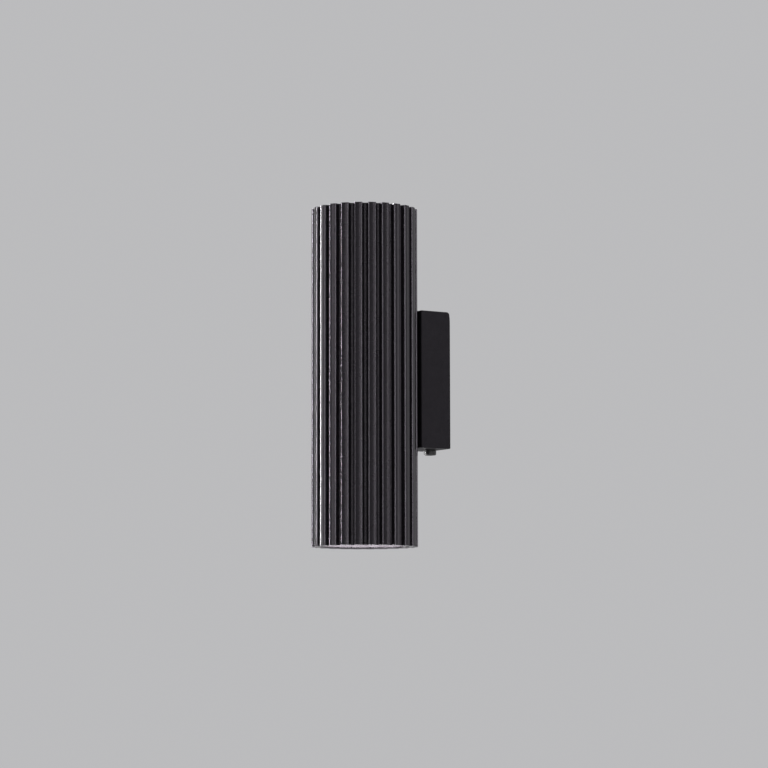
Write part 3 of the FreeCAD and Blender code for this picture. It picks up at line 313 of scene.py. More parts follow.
@dataclass(frozen=True)
class RibCoat(SatinCoat):
    """Satin coating of the ribbed tube, rubbed thin along the shoulders of the ribs."""

    axis_y: float = -51.8 * MM
    ribs: int = 24
    shoulder: Point = (0.27, 0.30)
    depth: Point = (30.3 * MM, 30.7 * MM)
    metal: Colour = (0.088, 0.081, 0.092)

    def rubbed(self, recipe: Recipe) -> Socket:
        """Where the coating is thin.

        Args:
            recipe: The material.

        Returns:
            1 on the shoulders of the ribs and 0 elsewhere.
        """
        axes = recipe.add("ShaderNodeSeparateXYZ")
        recipe.join(recipe.stretched((1, 1, 0), (0, -self.axis_y, 0)), axes.inputs["Vector"])
        turn = recipe.sums(axes.outputs["X"], axes.outputs["Y"], "ARCTAN2")
        phase = recipe.add("ShaderNodeMath", operation="MULTIPLY")
        phase.inputs[1].default_value = self.ribs / (2 * math.pi)
        recipe.join(turn, phase.inputs[0])
        fold = recipe.add("ShaderNodeMath", operation="PINGPONG")
        fold.inputs[1].default_value = 0.5
        recipe.join(phase.outputs["Value"], fold.inputs[0])
        radius = recipe.add("ShaderNodeVectorMath", operation="LENGTH")
        recipe.join(axes.inputs["Vector"].links[0].from_socket, radius.inputs[0])
        edge = recipe.spread(fold.outputs["Value"], 1, 0, *self.shoulder)
        high = recipe.spread(radius.outputs["Value"], 0, 1, *self.depth)
        return recipe.sums(edge, high, "MULTIPLY")

    def colour(self, recipe: Recipe) -> None:
        """Lay the coating's colour over the metal."""
        super().colour(recipe)
        coat = recipe.shader.inputs["Base Color"].links[0].from_socket
        worn = self.rubbed(recipe)
        mix = recipe.add("ShaderNodeMix", data_type="RGBA")
        recipe.join(worn, mix.inputs[0])
        recipe.join(coat, mix.inputs[6])
        mix.inputs[7].default_value = (*self.metal, 1)
        recipe.feed("Base Color", mix.outputs[2])
        recipe.feed("Metallic", worn)


@dataclass(frozen=True)
class PowderCoat(Finish):
    """Thick powder coating with a fine leathery texture."""

    pimple: float = 0.55 * MM
    pimple_flank: Point = (0.1, 0.75)
    pimple_relief: float = 0.035 * MM
    shine: float = 0.16
    sheen_tint: Colour = (0.97, 0.89, 1.0)

    def detail(self, recipe: Recipe) -> None:
        """Add the pimples of the coating over its fine relief."""
        super().detail(recipe)
        pimples = recipe.spread(recipe.cells(self.pimple, "SMOOTH_F1"), 1, 0, *self.pimple_flank)
        recipe.raise_bumps(pimples, self.pimple_relief)
        recipe.set(Specular_IOR_Level=self.shine, Specular_Tint=self.sheen_tint)


@dataclass(frozen=True)
class Plate(Finish):
    """Plated metal, with faint rolling lines along one axis."""

    line: float = 0.12 * MM
    line_relief: float = 0.0015 * MM
    along: Colour = (1, 1, 0.01)

    def detail(self, recipe: Recipe) -> None:
        """Add rolling lines."""
        super().detail(recipe)
        lines = recipe.noise(self.line, 3, recipe.stretched(self.along))
        recipe.raise_bumps(lines, self.line_relief)


@dataclass(frozen=True)
class Insulation(Finish):
    """Insulation of a lead: silk-matt, with the second stripe of an earth lead."""

    stripe: Colour | None = None
    stripe_width: float = 1.6 * MM
    stripe_edge: Point = (0.46, 0.54)
    waver: float = 0.6

    def colour(self, recipe: Recipe) -> None:
        """Vary the colour, and lay the stripe over it."""
        if self.stripe is None:
            super().colour(recipe)
            return
        wave = recipe.add("ShaderNodeTexWave", bands_direction="X")
        wave.inputs["Scale"].default_value = 1 / (2 * math.pi * self.stripe_width)
        wave.inputs["Distortion"].default_value = self.waver
        recipe.join(recipe.place, wave.inputs["Vector"])
        edge = recipe.spread(wave.outputs["Fac"], 0, 1, *self.stripe_edge)
        recipe.feed("Base Color", recipe.blend(edge, self.dark, self.stripe))


@dataclass(frozen=True)
class BoardMask(Finish):
    """White solder mask of an LED board, with yellow phosphor on the LED packages."""

    phosphor: Colour = (0.86, 0.62, 0.12)
    face: float = 0.0
    face_blur: float = 0.1 * MM
    way: int = 1

    def colour(self, recipe: Recipe) -> None:
        """Turn what stands above the board's face yellow."""
        axes = recipe.add("ShaderNodeSeparateXYZ")
        recipe.join(recipe.place, axes.inputs["Vector"])
        above = recipe.spread(axes.outputs["Z"], 0, 1, self.face, self.face + self.way * self.face_blur)
        recipe.feed("Base Color", recipe.blend(above, self.light, self.phosphor))


@dataclass(frozen=True)
class LitLens(Finish):
    """Frosted lens of a lit lamp: bright over the LEDs and softer towards its rim."""

    axis: Point = (0.0, 0.0)
    radius: float = 23 * MM
    glow: Colour = (1.0, 0.95, 0.87)
    centre_strength: float = 0.75
    rim_strength: float = 0.2
    core: float = 0.15
    frost: float = 0.6 * MM
    frost_relief: float = 0.03 * MM

    def detail(self, recipe: Recipe) -> None:
        """Add the frosting and the glow."""
        super().detail(recipe)
        recipe.raise_bumps(recipe.cells(self.frost, "SMOOTH_F1"), self.frost_relief)
        flat = recipe.stretched((1, 1, 0), (-self.axis[0], -self.axis[1], 0))
        distance = recipe.add("ShaderNodeVectorMath", operation="LENGTH")
        recipe.join(flat, distance.inputs[0])
        glow = recipe.spread(distance.outputs["Value"], self.centre_strength, self.rim_strength,
                             self.core * self.radius, self.radius)
        recipe.set(Emission_Color=self.glow)
        recipe.feed("Emission Strength", glow)


SATIN_TUBE = RibCoat("satin_tube", (0.0052, 0.0047, 0.0058), (0.0078, 0.0070, 0.0086), 0.145, 0.165,
                     grain=6 * MM, texture=0.8 * MM, relief=0.0003 * MM)
POWDER_BOX = PowderCoat("powder_box", (0.0042, 0.0038, 0.0050), (0.0068, 0.0062, 0.0078), 0.42, 0.56)
BLACK_STEEL = Finish("black_steel", (0.005, 0.0045, 0.0055), (0.010, 0.009, 0.011), 0.34, 0.50,
                     grain=1.2 * MM)
FIBRE = Finish("fibre", (0.012, 0.011, 0.010), (0.028, 0.026, 0.024), 0.75, 0.92,
               grain=0.5 * MM, texture=0.12 * MM, relief=0.012 * MM)
ZINC = Plate("zinc", (0.42, 0.44, 0.47), (0.56, 0.57, 0.58), 0.34, 0.48, grain=7 * MM, metallic=1.0)
ZINC_HARDWARE = Plate("zinc_hardware", (0.55, 0.56, 0.57), (0.74, 0.74, 0.73), 0.20, 0.36,
                      grain=1.5 * MM, texture=0.15 * MM, relief=0.002 * MM, metallic=1.0, along=(1, 1, 1))
RUBBER = Finish("rubber", (0.014, 0.014, 0.014), (0.030, 0.029, 0.028), 0.62, 0.82, grain=2 * MM,
                texture=0.2 * MM, relief=0.010 * MM)
BLACK_NYLON = Finish("black_nylon", (0.018, 0.018, 0.019), (0.030, 0.030, 0.031), 0.38, 0.55)
NATURAL_NYLON = Finish("natural_nylon", (0.66, 0.65, 0.59), (0.78, 0.77, 0.72), 0.34, 0.50)
BRASS = Plate("brass", (0.66, 0.46, 0.19), (0.80, 0.60, 0.30), 0.22, 0.38, grain=1.2 * MM,
              metallic=1.0, along=(0.02, 1, 1))
TINNED = Plate("tinned", (0.58, 0.57, 0.54), (0.72, 0.71, 0.68), 0.24, 0.42, grain=1.2 * MM,
               metallic=1.0, along=(1, 0.05, 1))
CERAMIC = Finish("ceramic", (0.72, 0.69, 0.62), (0.82, 0.79, 0.73), 0.50, 0.72, grain=1.6 * MM,
                 texture=0.18 * MM, relief=0.010 * MM)
LAMP_PLASTIC = Finish("lamp_plastic", (0.72, 0.72, 0.71), (0.80, 0.80, 0.79), 0.34, 0.48)
LAMP_BASE = Finish("lamp_base", (0.74, 0.74, 0.73), (0.82, 0.82, 0.81), 0.22, 0.34)
INSULATIONS = {
    Core.LIVE: Insulation("live_insulation", Core.LIVE.value, (0.20, 0.085, 0.040), 0.42, 0.60,
                          grain=1.5 * MM),
    Core.NEUTRAL: Insulation("neutral_insulation", Core.NEUTRAL.value, (0.05, 0.17, 0.50), 0.42, 0.60,
                             grain=1.5 * MM),
    Core.EARTH: Insulation("earth_insulation", Core.EARTH.value, (0.14, 0.40, 0.06), 0.42, 0.60,
                           grain=1.5 * MM, stripe=(0.72, 0.62, 0.05)),
}


class Paintbox:
    """Builds each finish once and puts it on pieces and nodes."""

    def __init__(self) -> None:
        """Start with no material built."""
        self.built: dict[str, bpy.types.Material] = {}

    def coat(self, piece: Piece, finish: Finish) -> None:
        """Give a piece its only material.

        Args:
            piece: A new piece or a node of the frame.
            finish: The finish.
        """
        if finish.name not in self.built:
            self.built[finish.name] = finish.build()
        piece.data.materials.clear()
        piece.data.materials.append(self.built[finish.name])

    def coat_nodes(self, finish: Finish, *nodes: str) -> None:
        """Give nodes of the frame their finish."""
        for node in nodes:
            self.coat(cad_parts[node], finish)
            log.info("%s: node, %s", node, finish.name)


# ---------------------------------------------------------------- mesh tools

def outline(mesh: Mesh, points: Iterable[Point],
            closed: bool = False) -> list[bmesh.types.BMVert]:
    """A chain of edges through points of the XZ plane.

    Args:
        mesh: Where the chain goes.
        points: Distance from the axis and height of each point.
        closed: Whether the last point joins the first.

    Returns:
        The chain's vertices.
    """
    chain = [mesh.verts.new((across, 0, height)) for across, height in points]
    pairs = list(zip(chain, chain[1:]))
    if closed:
        pairs.append((chain[-1], chain[0]))
    for pair in pairs:
        mesh.edges.new(pair)
    return chain


def round_corners(mesh: Mesh, corners: Sequence[bmesh.types.BMVert], reach: float,
                  segments: int) -> None:
    """Round corners of a chain of edges.

    Args:
        mesh: The chain's mesh.
        corners: The vertices to round.
        reach: How far along both edges the rounding starts.
        segments: Edges in each rounding.
    """
    bmesh.ops.bevel(mesh, geom=list(corners), offset=reach, offset_type="OFFSET", segments=segments,
                    profile=0.5, affect="VERTICES", material=-1, clamp_overlap=False)


def break_edges(mesh: Mesh, edges: Iterable[bmesh.types.BMEdge], width: float,
                segments: int = 2) -> None:
    """Bevel edges of a solid."""
    bmesh.ops.bevel(mesh, geom=list(edges), offset=width, offset_type="OFFSET", segments=segments,
                    profile=0.5, affect="EDGES", material=-1, clamp_overlap=True)


def spin_round(mesh: Mesh, steps: int = 96) -> None:
    """Turn a chain about Z into a shell, closed on itself, with its faces outwards."""
    bmesh.ops.spin(mesh, geom=mesh.verts[:] + mesh.edges[:], cent=(0, 0, 0), axis=(0, 0, 1),
                   angle=2 * math.pi, steps=steps, use_merge=True)
    bmesh.ops.remove_doubles(mesh, verts=mesh.verts, dist=MERGE)
    bmesh.ops.recalc_face_normals(mesh, faces=mesh.faces)


def mark_creases(mesh: Mesh, crease: float) -> None:
    """Shade a mesh smooth, but for edges that turn by more than the crease."""
    for face in mesh.faces:
        face.smooth = True
    for edge in mesh.edges:
        edge.smooth = len(edge.link_faces) == 2 and edge.calc_face_angle(0) < crease


def finished(mesh: Mesh, name: str, crease: float = CREASE) -> Piece:
    """Turn a bmesh into an object at the origin, smooth but for its creases.

    Args:
        mesh: The finished mesh, which is freed.
        name: The piece's name.
        crease: Edges that turn by more than this stay sharp.

    Returns:
        The object.
    """
    mark_creases(mesh, crease)
    data = bpy.data.meshes.new(name)
    mesh.to_mesh(data)
    mesh.free()
    piece = bpy.data.objects.new(name, data)
    bpy.context.scene.collection.objects.link(piece)
    even_shading(piece)
    return piece


def even_shading(piece: Piece) -> None:
    """Keep large faces flat where small roundings meet them."""
    modifier = piece.modifiers.new("even_shading", "WEIGHTED_NORMAL")
    modifier.keep_sharp, modifier.weight = True, 100


def baked(piece: Piece, crease: float = CREASE) -> Piece:
    """Apply a piece's modifiers, and mark its creases again."""
    graph = bpy.context.evaluated_depsgraph_get()
    data = bpy.data.meshes.new_from_object(piece.evaluated_get(graph))
    piece.modifiers.clear()
    mesh = bmesh.new()
    mesh.from_mesh(data)
    bmesh.ops.remove_doubles(mesh, verts=mesh.verts, dist=MERGE)
    bmesh.ops.dissolve_degenerate(mesh, edges=mesh.edges, dist=MERGE)
    mark_creases(mesh, crease)
    mesh.to_mesh(data)
    mesh.free()
    piece.data = data
    even_shading(piece)
    return piece


def carve(piece: Piece, cutters: Iterable[Mesh]) -> Piece:
    """Cut shapes out of a piece.

    Args:
        piece: The piece.
        cutters: The shapes, which are freed.

    Returns:
        The piece.
    """
    tools = []
    for number, mesh in enumerate(cutters):
        tool = finished(mesh, f"cutter_{number}")
        modifier = piece.modifiers.new(tool.name, "BOOLEAN")
        modifier.operation, modifier.solver, modifier.object = "DIFFERENCE", "EXACT", tool
        tools.append(tool)
    bpy.context.view_layer.update()
    baked(piece)
    for tool in tools:
        bpy.data.objects.remove(tool)
    return piece


def rod(radius: float, start: Vector, stop: Vector, sides: int = 48) -> Mesh:
    """A closed rod between two points, for cutting.

    Args:
        radius: Its radius, to the corners.
        start: Middle of one end.
        stop: Middle of the other.
        sides: Number of sides.

    Returns:
        The rod.
    """
    mesh = bmesh.new()
    along = stop - start
    turn = along.to_track_quat("Z", "Y").to_matrix().to_4x4()
    bmesh.ops.create_cone(mesh, cap_ends=True, segments=sides, radius1=radius, radius2=radius,
                          depth=along.length, matrix=Matrix.Translation((start + stop) / 2) @ turn)
    return mesh


def block(low: Vector, high: Vector) -> Mesh:
    """A closed block between two corners."""
    mesh = bmesh.new()
    size = high - low
    bmesh.ops.create_cube(mesh, size=1, matrix=Matrix.Translation((low + high) / 2)
                          @ Matrix.Diagonal((*size, 1)))
    return mesh


def edges_along(mesh: Mesh, axis: int) -> list[bmesh.types.BMEdge]:
    """The straight edges of a block that run along an axis."""
    found = []
    for edge in mesh.edges:
        along = (edge.verts[1].co - edge.verts[0].co).normalized()
        if abs(along[axis]) > PARALLEL:
            found.append(edge)
    return found


def polish_edges(piece: Piece, width: float, limit: float = math.radians(38)) -> Piece:
    """Break a piece's sharp edges by a small bevel, and even its normals.

    Args:
        piece: The piece.
        width: Width of the bevel.
        limit: Only edges that turn by more are broken.

    Returns:
        The piece.
    """
    bevel = piece.modifiers.new("edge_break", "BEVEL")
    bevel.width, bevel.segments, bevel.limit_method, bevel.angle_limit = width, 2, "ANGLE", limit
    bevel.miter_outer = "MITER_ARC"
    return baked(piece)


def stand_in(piece: Piece, node: str, body: str) -> None:
    """Let a piece take a node's place on its body, and hide the node."""
    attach(piece, body)
    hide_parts(node)
    log.info("%s: %d faces, replaces %s", piece.name, len(piece.data.polygons), node)


# ---------------------------------------------------------------- the tube

@dataclass
class FlutedTube:
    """The ribbed tube, open at both ends."""

    crest: float = 31.5 * MM
    groove_width: float = 3.3 * MM
    groove_depth: float = 3.4 * MM
    shoulder: float = 0.7 * MM
    bore: float = 26.5 * MM
    ribs: int = 24
    edge_break: float = 0.18 * MM
    mouth_chamfer: float = 1.0 * MM
    floor_segments: int = 9
    shoulder_segments: int = 5
    crest_cuts: int = 3
    screw_spacing: float = 22 * MM
    screw_hole: float = 2.1 * MM
    wire_hole: float = 5.1 * MM

    def __post_init__(self) -> None:
        """Take the place and the height from the frame."""
        low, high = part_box("fluted_tube")
        self.centre = (low + high) / 2
        self.height = high.z - low.z

    def half_period(self, mesh: Mesh) -> None:
        """The line from a groove's floor to the middle of the next rib, in the XZ plane."""
        half = self.groove_width / 2
        mouth = math.sqrt(self.crest ** 2 - half ** 2)
        pitch = 2 * math.pi / self.ribs
        middle = (self.crest * math.sin(pitch / 2), self.crest * math.cos(pitch / 2))
        floor = self.crest - self.groove_depth
        chain = outline(mesh, [(0, floor), (half, floor), (half, mouth), middle])
        round_corners(mesh, [chain[1]], half * ALMOST, self.floor_segments)
        corner = math.pi / 2 - pitch / 4 - math.asin(half / self.crest) / 2
        mesh.verts.ensure_lookup_table()
        brow = [vert for vert in mesh.verts if (vert.co - Vector((half, 0, mouth))).length < MERGE]
        round_corners(mesh, brow, self.shoulder / math.tan(corner / 2), self.shoulder_segments)
        crest_edge = max(mesh.edges, key=lambda edge: min(vert.co.xz.length for vert in edge.verts))
        made = bmesh.ops.subdivide_edges(mesh, edges=[crest_edge], cuts=self.crest_cuts)
        for vert in made["geom_inner"]:
            if isinstance(vert, bmesh.types.BMVert):
                vert.co *= self.crest / vert.co.length

    def ring(self, mesh: Mesh) -> None:
        """The tube's flat section at its foot, as faces between crests and bore."""
        self.half_period(mesh)
        bmesh.ops.mirror(mesh, geom=mesh.verts[:] + mesh.edges[:], merge_dist=MERGE, axis="X")
        bmesh.ops.rotate(mesh, verts=mesh.verts, cent=(0, 0, 0), matrix=Matrix.Rotation(-math.pi / 2, 3, "X"))
        period = mesh.verts[:] + mesh.edges[:]
        for number in range(1, self.ribs):
            copy = bmesh.ops.duplicate(mesh, geom=period)["geom"]
            verts = [item for item in copy if isinstance(item, bmesh.types.BMVert)]
            bmesh.ops.rotate(mesh, verts=verts, cent=(0, 0, 0),
                             matrix=Matrix.Rotation(2 * math.pi * number / self.ribs, 3, "Z"))
        bmesh.ops.remove_doubles(mesh, verts=mesh.verts, dist=MERGE * 10)
        count = len(mesh.verts)
        bmesh.ops.create_circle(mesh, segments=count, radius=self.bore,
                                matrix=Matrix.Rotation(math.pi / 2, 4, "Z"))
        bmesh.ops.bridge_loops(mesh, edges=mesh.edges)

    def shell(self) -> Piece:
        """The tube as a closed solid, with its end edges broken."""
        mesh = bmesh.new()
        self.ring(mesh)
        ring = mesh.faces[:]
        pulled = bmesh.ops.extrude_face_region(mesh, geom=ring)["geom"]
        verts = [item for item in pulled if isinstance(item, bmesh.types.BMVert)]
        bmesh.ops.translate(mesh, verts=verts, vec=(0, 0, self.height))
        bmesh.ops.recalc_face_normals(mesh, faces=mesh.faces)
        rims = [edge for edge in mesh.edges
                if sorted(abs(face.normal.z) > STEEP for face in edge.link_faces) == [False, True]]
        mouths = [edge for edge in rims if edge.verts[0].co.xy.length < self.bore + MERGE]
        outer = [edge for edge in rims if edge not in mouths]
        break_edges(mesh, outer, self.edge_break)
        break_edges(mesh, [edge for edge in mouths if edge.is_valid], self.mouth_chamfer, 1)
        bmesh.ops.translate(mesh, verts=mesh.verts,
                            vec=(self.centre.x, self.centre.y, self.centre.z - self.height / 2))
        return finished(mesh, "ribbed_tube")

    def build(self, paints: Paintbox) -> None:
        """Make the tube, drill its back wall and dress it."""
        tube = self.shell()
        back = self.centre.y + self.crest + self.edge_break
        holes = [(self.wire_hole, 0.0), (self.screw_hole, self.screw_spacing / 2),
                 (self.screw_hole, -self.screw_spacing / 2)]
        carve(tube, [rod(radius, Vector((0, self.centre.y, height)), Vector((0, back, height)))
                     for radius, height in holes])
        paints.coat(tube, SATIN_TUBE)
        stand_in(tube, "fluted_tube", "light")


# ---------------------------------------------------------------- the box

@dataclass
class CoverBox:
    """The folded box between tube and wall, open at the wall."""

    sheet: float = 1.2 * MM
    bend: float = 2.0 * MM
    seam: float = 0.8 * MM
    heel: float = 1.8 * MM
    screw_setback: float = 6.1 * MM
    screw_hole: float = 2.3 * MM
    slot_width: float = 8.6 * MM
    slot_depth: float = 2.1 * MM
    slot_setback: float = 9.25 * MM
    tube_screw_spacing: float = 22 * MM
    tube_screw_hole: float = 2.1 * MM
    wire_hole: float = 5.1 * MM
    edge_break: float = 0.12 * MM
    segments: int = 6

    def __post_init__(self) -> None:
        """Take the outer size from the frame."""
        self.low, self.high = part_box("cover_box")

    def outside(self) -> Piece:
        """The closed outer form, with its seams, bends and heel rounded."""
        mesh = block(self.low, self.high)
        heel = [edge for edge in edges_along(mesh, 0)
                if all(vert.co.y > self.high.y - MERGE and vert.co.z > 0 for vert in edge.verts)]
        break_edges(mesh, heel, self.heel, self.segments)
        seams = [edge for edge in mesh.edges if not edge.calc_face_angle() < CREASE
                 and any(abs(face.normal.x) > STEEP for face in edge.link_faces)
                 and max(vert.co.y for vert in edge.verts) > self.low.y + MERGE
                 and not all(vert.co.y > self.high.y - MERGE for vert in edge.verts)]
        break_edges(mesh, seams, self.seam, self.segments - 2)
        front = [edge for edge in mesh.edges
                 if all(abs(vert.co.y - self.low.y) < MERGE for vert in edge.verts)]
        break_edges(mesh, front, self.bend, self.segments)
        return finished(mesh, "folded_box")

    def inside(self) -> Mesh:
        """The hollow, out past the wall."""
        wall = Vector((self.sheet, self.sheet, self.sheet))
        far = self.high - wall
        far.y = self.high.y + self.sheet
        mesh = block(self.low + wall, far)
        front = [edge for edge in mesh.edges
                 if all(abs(vert.co.y - self.low.y - self.sheet) < MERGE for vert in edge.verts)]
        break_edges(mesh, front, self.bend - self.sheet, self.segments - 2)
        return mesh

    def build(self, paints: Paintbox) -> None:
        """Make the box, cut its slot and holes and dress it."""
        box = carve(self.outside(), [self.inside()])
        top, foot, face = self.high.z, self.low.z, self.low.y
        through = 2 * self.sheet
        slot = Vector((self.slot_width / 2, self.slot_depth / 2, through))
        slot_middle = Vector((0, -self.slot_setback, top))
        cutters = [
            block(slot_middle - slot, slot_middle + slot),
            rod(self.screw_hole, Vector((0, -self.screw_setback, foot - through)),
                Vector((0, -self.screw_setback, foot + through))),
        ]
        for radius, height in ((self.wire_hole, 0), (self.tube_screw_hole, self.tube_screw_spacing / 2),
                               (self.tube_screw_hole, -self.tube_screw_spacing / 2)):
            cutters.append(rod(radius, Vector((0, face - through, height)),
                               Vector((0, face + through, height))))
        carve(box, cutters)
        polish_edges(box, self.edge_break)
        paints.coat(box, POWDER_BOX)
        stand_in(box, "cover_box", "light")


# ---------------------------------------------------------------- the retaining screw

@dataclass
class RetainingScrew:
    """The screw under the box, with a round head and a hexagon socket, and its washer."""

    shank: float = 2.0 * MM
    shank_length: float = 8.0 * MM
    head: float = 3.7 * MM
    rounding: float = 0.8 * MM
    socket: float = 3.0 * MM
    socket_depth: float = 1.5 * MM
    pitch: float = 0.7 * MM
    thread_depth: float = 0.36 * MM
    thread_crest: Point = (0.4, 0.55)
    plain_length: float = 1.5 * MM
    edge_break: float = 0.06 * MM
    edge_limit: float = math.radians(50)
    washer_bore: float = 2.1 * MM
    washer_round: float = 0.12 * MM
    steps: int = 64

    def __post_init__(self) -> None:
        """Take the places of head and washer from the frame."""
        low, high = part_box("retaining_screw")
        self.axis = Vector(((low.x + high.x) / 2, (low.y + high.y) / 2, 0))
        self.tip, self.end = high.z, low.z
        self.seat = self.tip - self.shank_length
        self.washer_low, self.washer_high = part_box("screw_washer")

    def screw_mesh(self) -> Mesh:
        """Head and threaded shank, turned from one line about Z."""
        mesh = bmesh.new()
        root = self.shank - self.thread_depth
        turns = int((self.shank_length - self.plain_length) / self.pitch)
        line = [(0, self.end), (self.head, self.end), (self.head, self.seat), (root, self.seat)]
        start = self.seat + self.pitch
        for number in range(turns):
            height = start + number * self.pitch
            line.append((root, height))
            line += [(self.shank, height + self.pitch * share) for share in self.thread_crest]
        line += [(root, start + turns * self.pitch), (root, self.tip), (0, self.tip)]
        chain = outline(mesh, line)
        round_corners(mesh, [chain[1]], self.rounding, 6)
        spin_round(mesh, self.steps)
        return mesh

    def build(self, paints: Paintbox) -> None:
        """Make screw and washer and dress them."""
        mesh = self.screw_mesh()
        bmesh.ops.translate(mesh, verts=mesh.verts, vec=self.axis)
        screw = finished(mesh, "socket_screw")
        corner = self.socket / math.sqrt(3)
        bottom = self.axis + Vector((0, 0, self.end - MM))
        carve(screw, [rod(corner, bottom, self.axis + Vector((0, 0, self.end + self.socket_depth)), 6)])
        polish_edges(screw, self.edge_break, self.edge_limit)
        paints.coat(screw, BLACK_STEEL)
        stand_in(screw, "retaining_screw", "screw")

        ring = bmesh.new()
        outer = (self.washer_high.x - self.washer_low.x) / 2
        foot, top = self.washer_low.z, self.washer_high.z
        chain = outline(ring, [(self.washer_bore, foot), (outer, foot), (outer, top),
                               (self.washer_bore, top)], closed=True)
        round_corners(ring, chain[1:3], self.washer_round, 3)
        spin_round(ring, self.steps)
        bmesh.ops.translate(ring, verts=ring.verts, vec=self.axis)
        washer = finished(ring, "fibre_washer")
        paints.coat(washer, FIBRE)
        stand_in(washer, "screw_washer", "screw_slide")


# ---------------------------------------------------------------- lamps and their holders

@dataclass
class ReflectorLamp:
    """A reflector lamp in its holder at one end of the tube."""

    end: End
    axis_y: float
    shell_wall: float = 1.6 * MM
    rim: float = 9.0 * MM
    foot: float = 11.0 * MM
    floor: float = 3.0 * MM
    lip_round: float = 0.5 * MM
    flare_round: float = 2.0 * MM
    lens_border: float = 1.6 * MM
    lens_round: float = 0.25 * MM
    lens_recess: float = 0.35 * MM
    ring_pitch: float = 1.5 * MM
    ring_riser: float = 0.2
    ring_height: float = 0.3 * MM
    eye: float = 4.2 * MM
    eye_steps: int = 6
    board_chip: float = 0.7 * MM

    beam_radius: float = 20 * MM
    beam_gap: float = 0.8 * MM
    beam_power: float = 1.7
    beam_tint: Colour = (1.0, 0.99, 0.90)

    @property
    def body(self) -> str:
        """The body that the lamp turns with."""
        return f"{self.end.prefix}_lamp"

    def reach(self, node: str) -> tuple[float, float, float]:
        """Radius, inner and outer height of one of this lamp's nodes, from the middle outwards."""
        low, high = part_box(f"{self.end.prefix}_{node}")
        heights = sorted((abs(low.z), abs(high.z)))
        return (high.x - low.x) / 2, heights[0], heights[1]

    def set_up(self, mesh: Mesh, name: str) -> Piece:
        """Put a part that was turned about Z, outwards upwards, at this end of the tube."""
        if self.end is End.LOWER:
            bmesh.ops.rotate(mesh, verts=mesh.verts, cent=(0, 0, 0), matrix=Matrix.Rotation(math.pi, 3, "X"))
        bmesh.ops.translate(mesh, verts=mesh.verts, vec=(0, self.axis_y, 0))
        return finished(mesh, f"{self.end.prefix}_{name}")

    def shell(self) -> Piece:
        """The flared shell, hollow in front of its floor."""
        mesh = bmesh.new()
        radius, back, front = self.reach("lamp_shell")
        flare = front - self.rim
        slope = (radius - self.foot) / (flare - back)
        inner = radius - self.shell_wall
        floor_radius = self.foot + slope * self.floor - self.shell_wall
        chain = outline(mesh, [(0, back), (self.foot, back), (radius, flare), (radius, front),
                               (inner, front), (inner, flare), (floor_radius, back + self.floor),
                               (0, back + self.floor)])
        round_corners(mesh, [chain[3], chain[4]], self.lip_round, 4)
        round_corners(mesh, [vert for vert in mesh.verts
                             if abs(vert.co.z - flare) < MERGE and vert.co.x > inner + MERGE],
                      self.flare_round, 4)
        spin_round(mesh)
        return self.set_up(mesh, "reflector_shell")

    def lens(self) -> Piece:
        """The moulded lens: a flat border, then concentric prisms round a domed eye."""
        mesh = bmesh.new()
        radius, back, front = self.reach("lamp_lens")
        field = front - self.lens_recess
        edge = radius - self.lens_border
        line = [(0, back), (radius, back), (radius, front), (edge, front), (edge, field - self.ring_height)]
        across = edge
        while across - self.ring_pitch > self.eye:
            across -= self.ring_pitch
            line += [(across + self.ring_pitch * self.ring_riser, field), (across, field - self.ring_height)]
        for number in range(self.eye_steps + 1):
            turn = number / self.eye_steps * math.pi / 2
            line.append((self.eye * math.cos(turn), field - self.ring_height * (1 - math.sin(turn))))
        chain = outline(mesh, line)
        round_corners(mesh, [chain[2]], self.lens_round, 3)
        spin_round(mesh)
        return self.set_up(mesh, "ringed_lens")

    def build(self, paints: Paintbox) -> None:
        """Make shell and lens, and dress the lamp's other parts and its holder."""
        prefix = self.end.prefix
        shell = self.shell()
        paints.coat(shell, LAMP_PLASTIC)
        stand_in(shell, f"{prefix}_lamp_shell", self.body)
        lens = self.lens()
        paints.coat(lens, LitLens(f"{prefix}_lit_lens", (0.55, 0.55, 0.54), (0.62, 0.62, 0.61), 0.28, 0.4,
                                  axis=(0.0, self.axis_y)))
        stand_in(lens, f"{prefix}_lamp_lens", self.body)
        face = self.end.value * (self.reach("led_board")[2] - self.board_chip)
        board = BoardMask(f"{prefix}_board", (0.70, 0.70, 0.68), (0.80, 0.80, 0.78), 0.3, 0.42,
                          face=face, way=self.end.value)
        paints.coat_nodes(board, f"{prefix}_led_board")
        paints.coat_nodes(LAMP_BASE, f"{prefix}_lamp_base")
        paints.coat_nodes(TINNED, f"{prefix}_lamp_pins", f"{prefix}_contacts")
        paints.coat_nodes(CERAMIC, f"{prefix}_lampholder")
        self.shine()

    def shine(self) -> None:
        """Let the lamp throw its light out of the tube, from just in front of its lens."""
        data = bpy.data.lights.new(f"{self.end.prefix}_beam", "AREA")
        data.shape, data.size, data.energy = "DISK", 2 * self.beam_radius, self.beam_power
        data.color = self.beam_tint
        beam = bpy.data.objects.new(data.name, data)
        height = self.reach("lamp_shell")[2] + self.beam_gap
        beam.location = (0, self.axis_y, self.end.value * height)
        if self.end is End.UPPER:
            beam.rotation_euler = (math.pi, 0, 0)
        beam.visible_camera = False
        bpy.context.scene.collection.objects.link(beam)


# ---------------------------------------------------------------- bracket, bushes and wiring

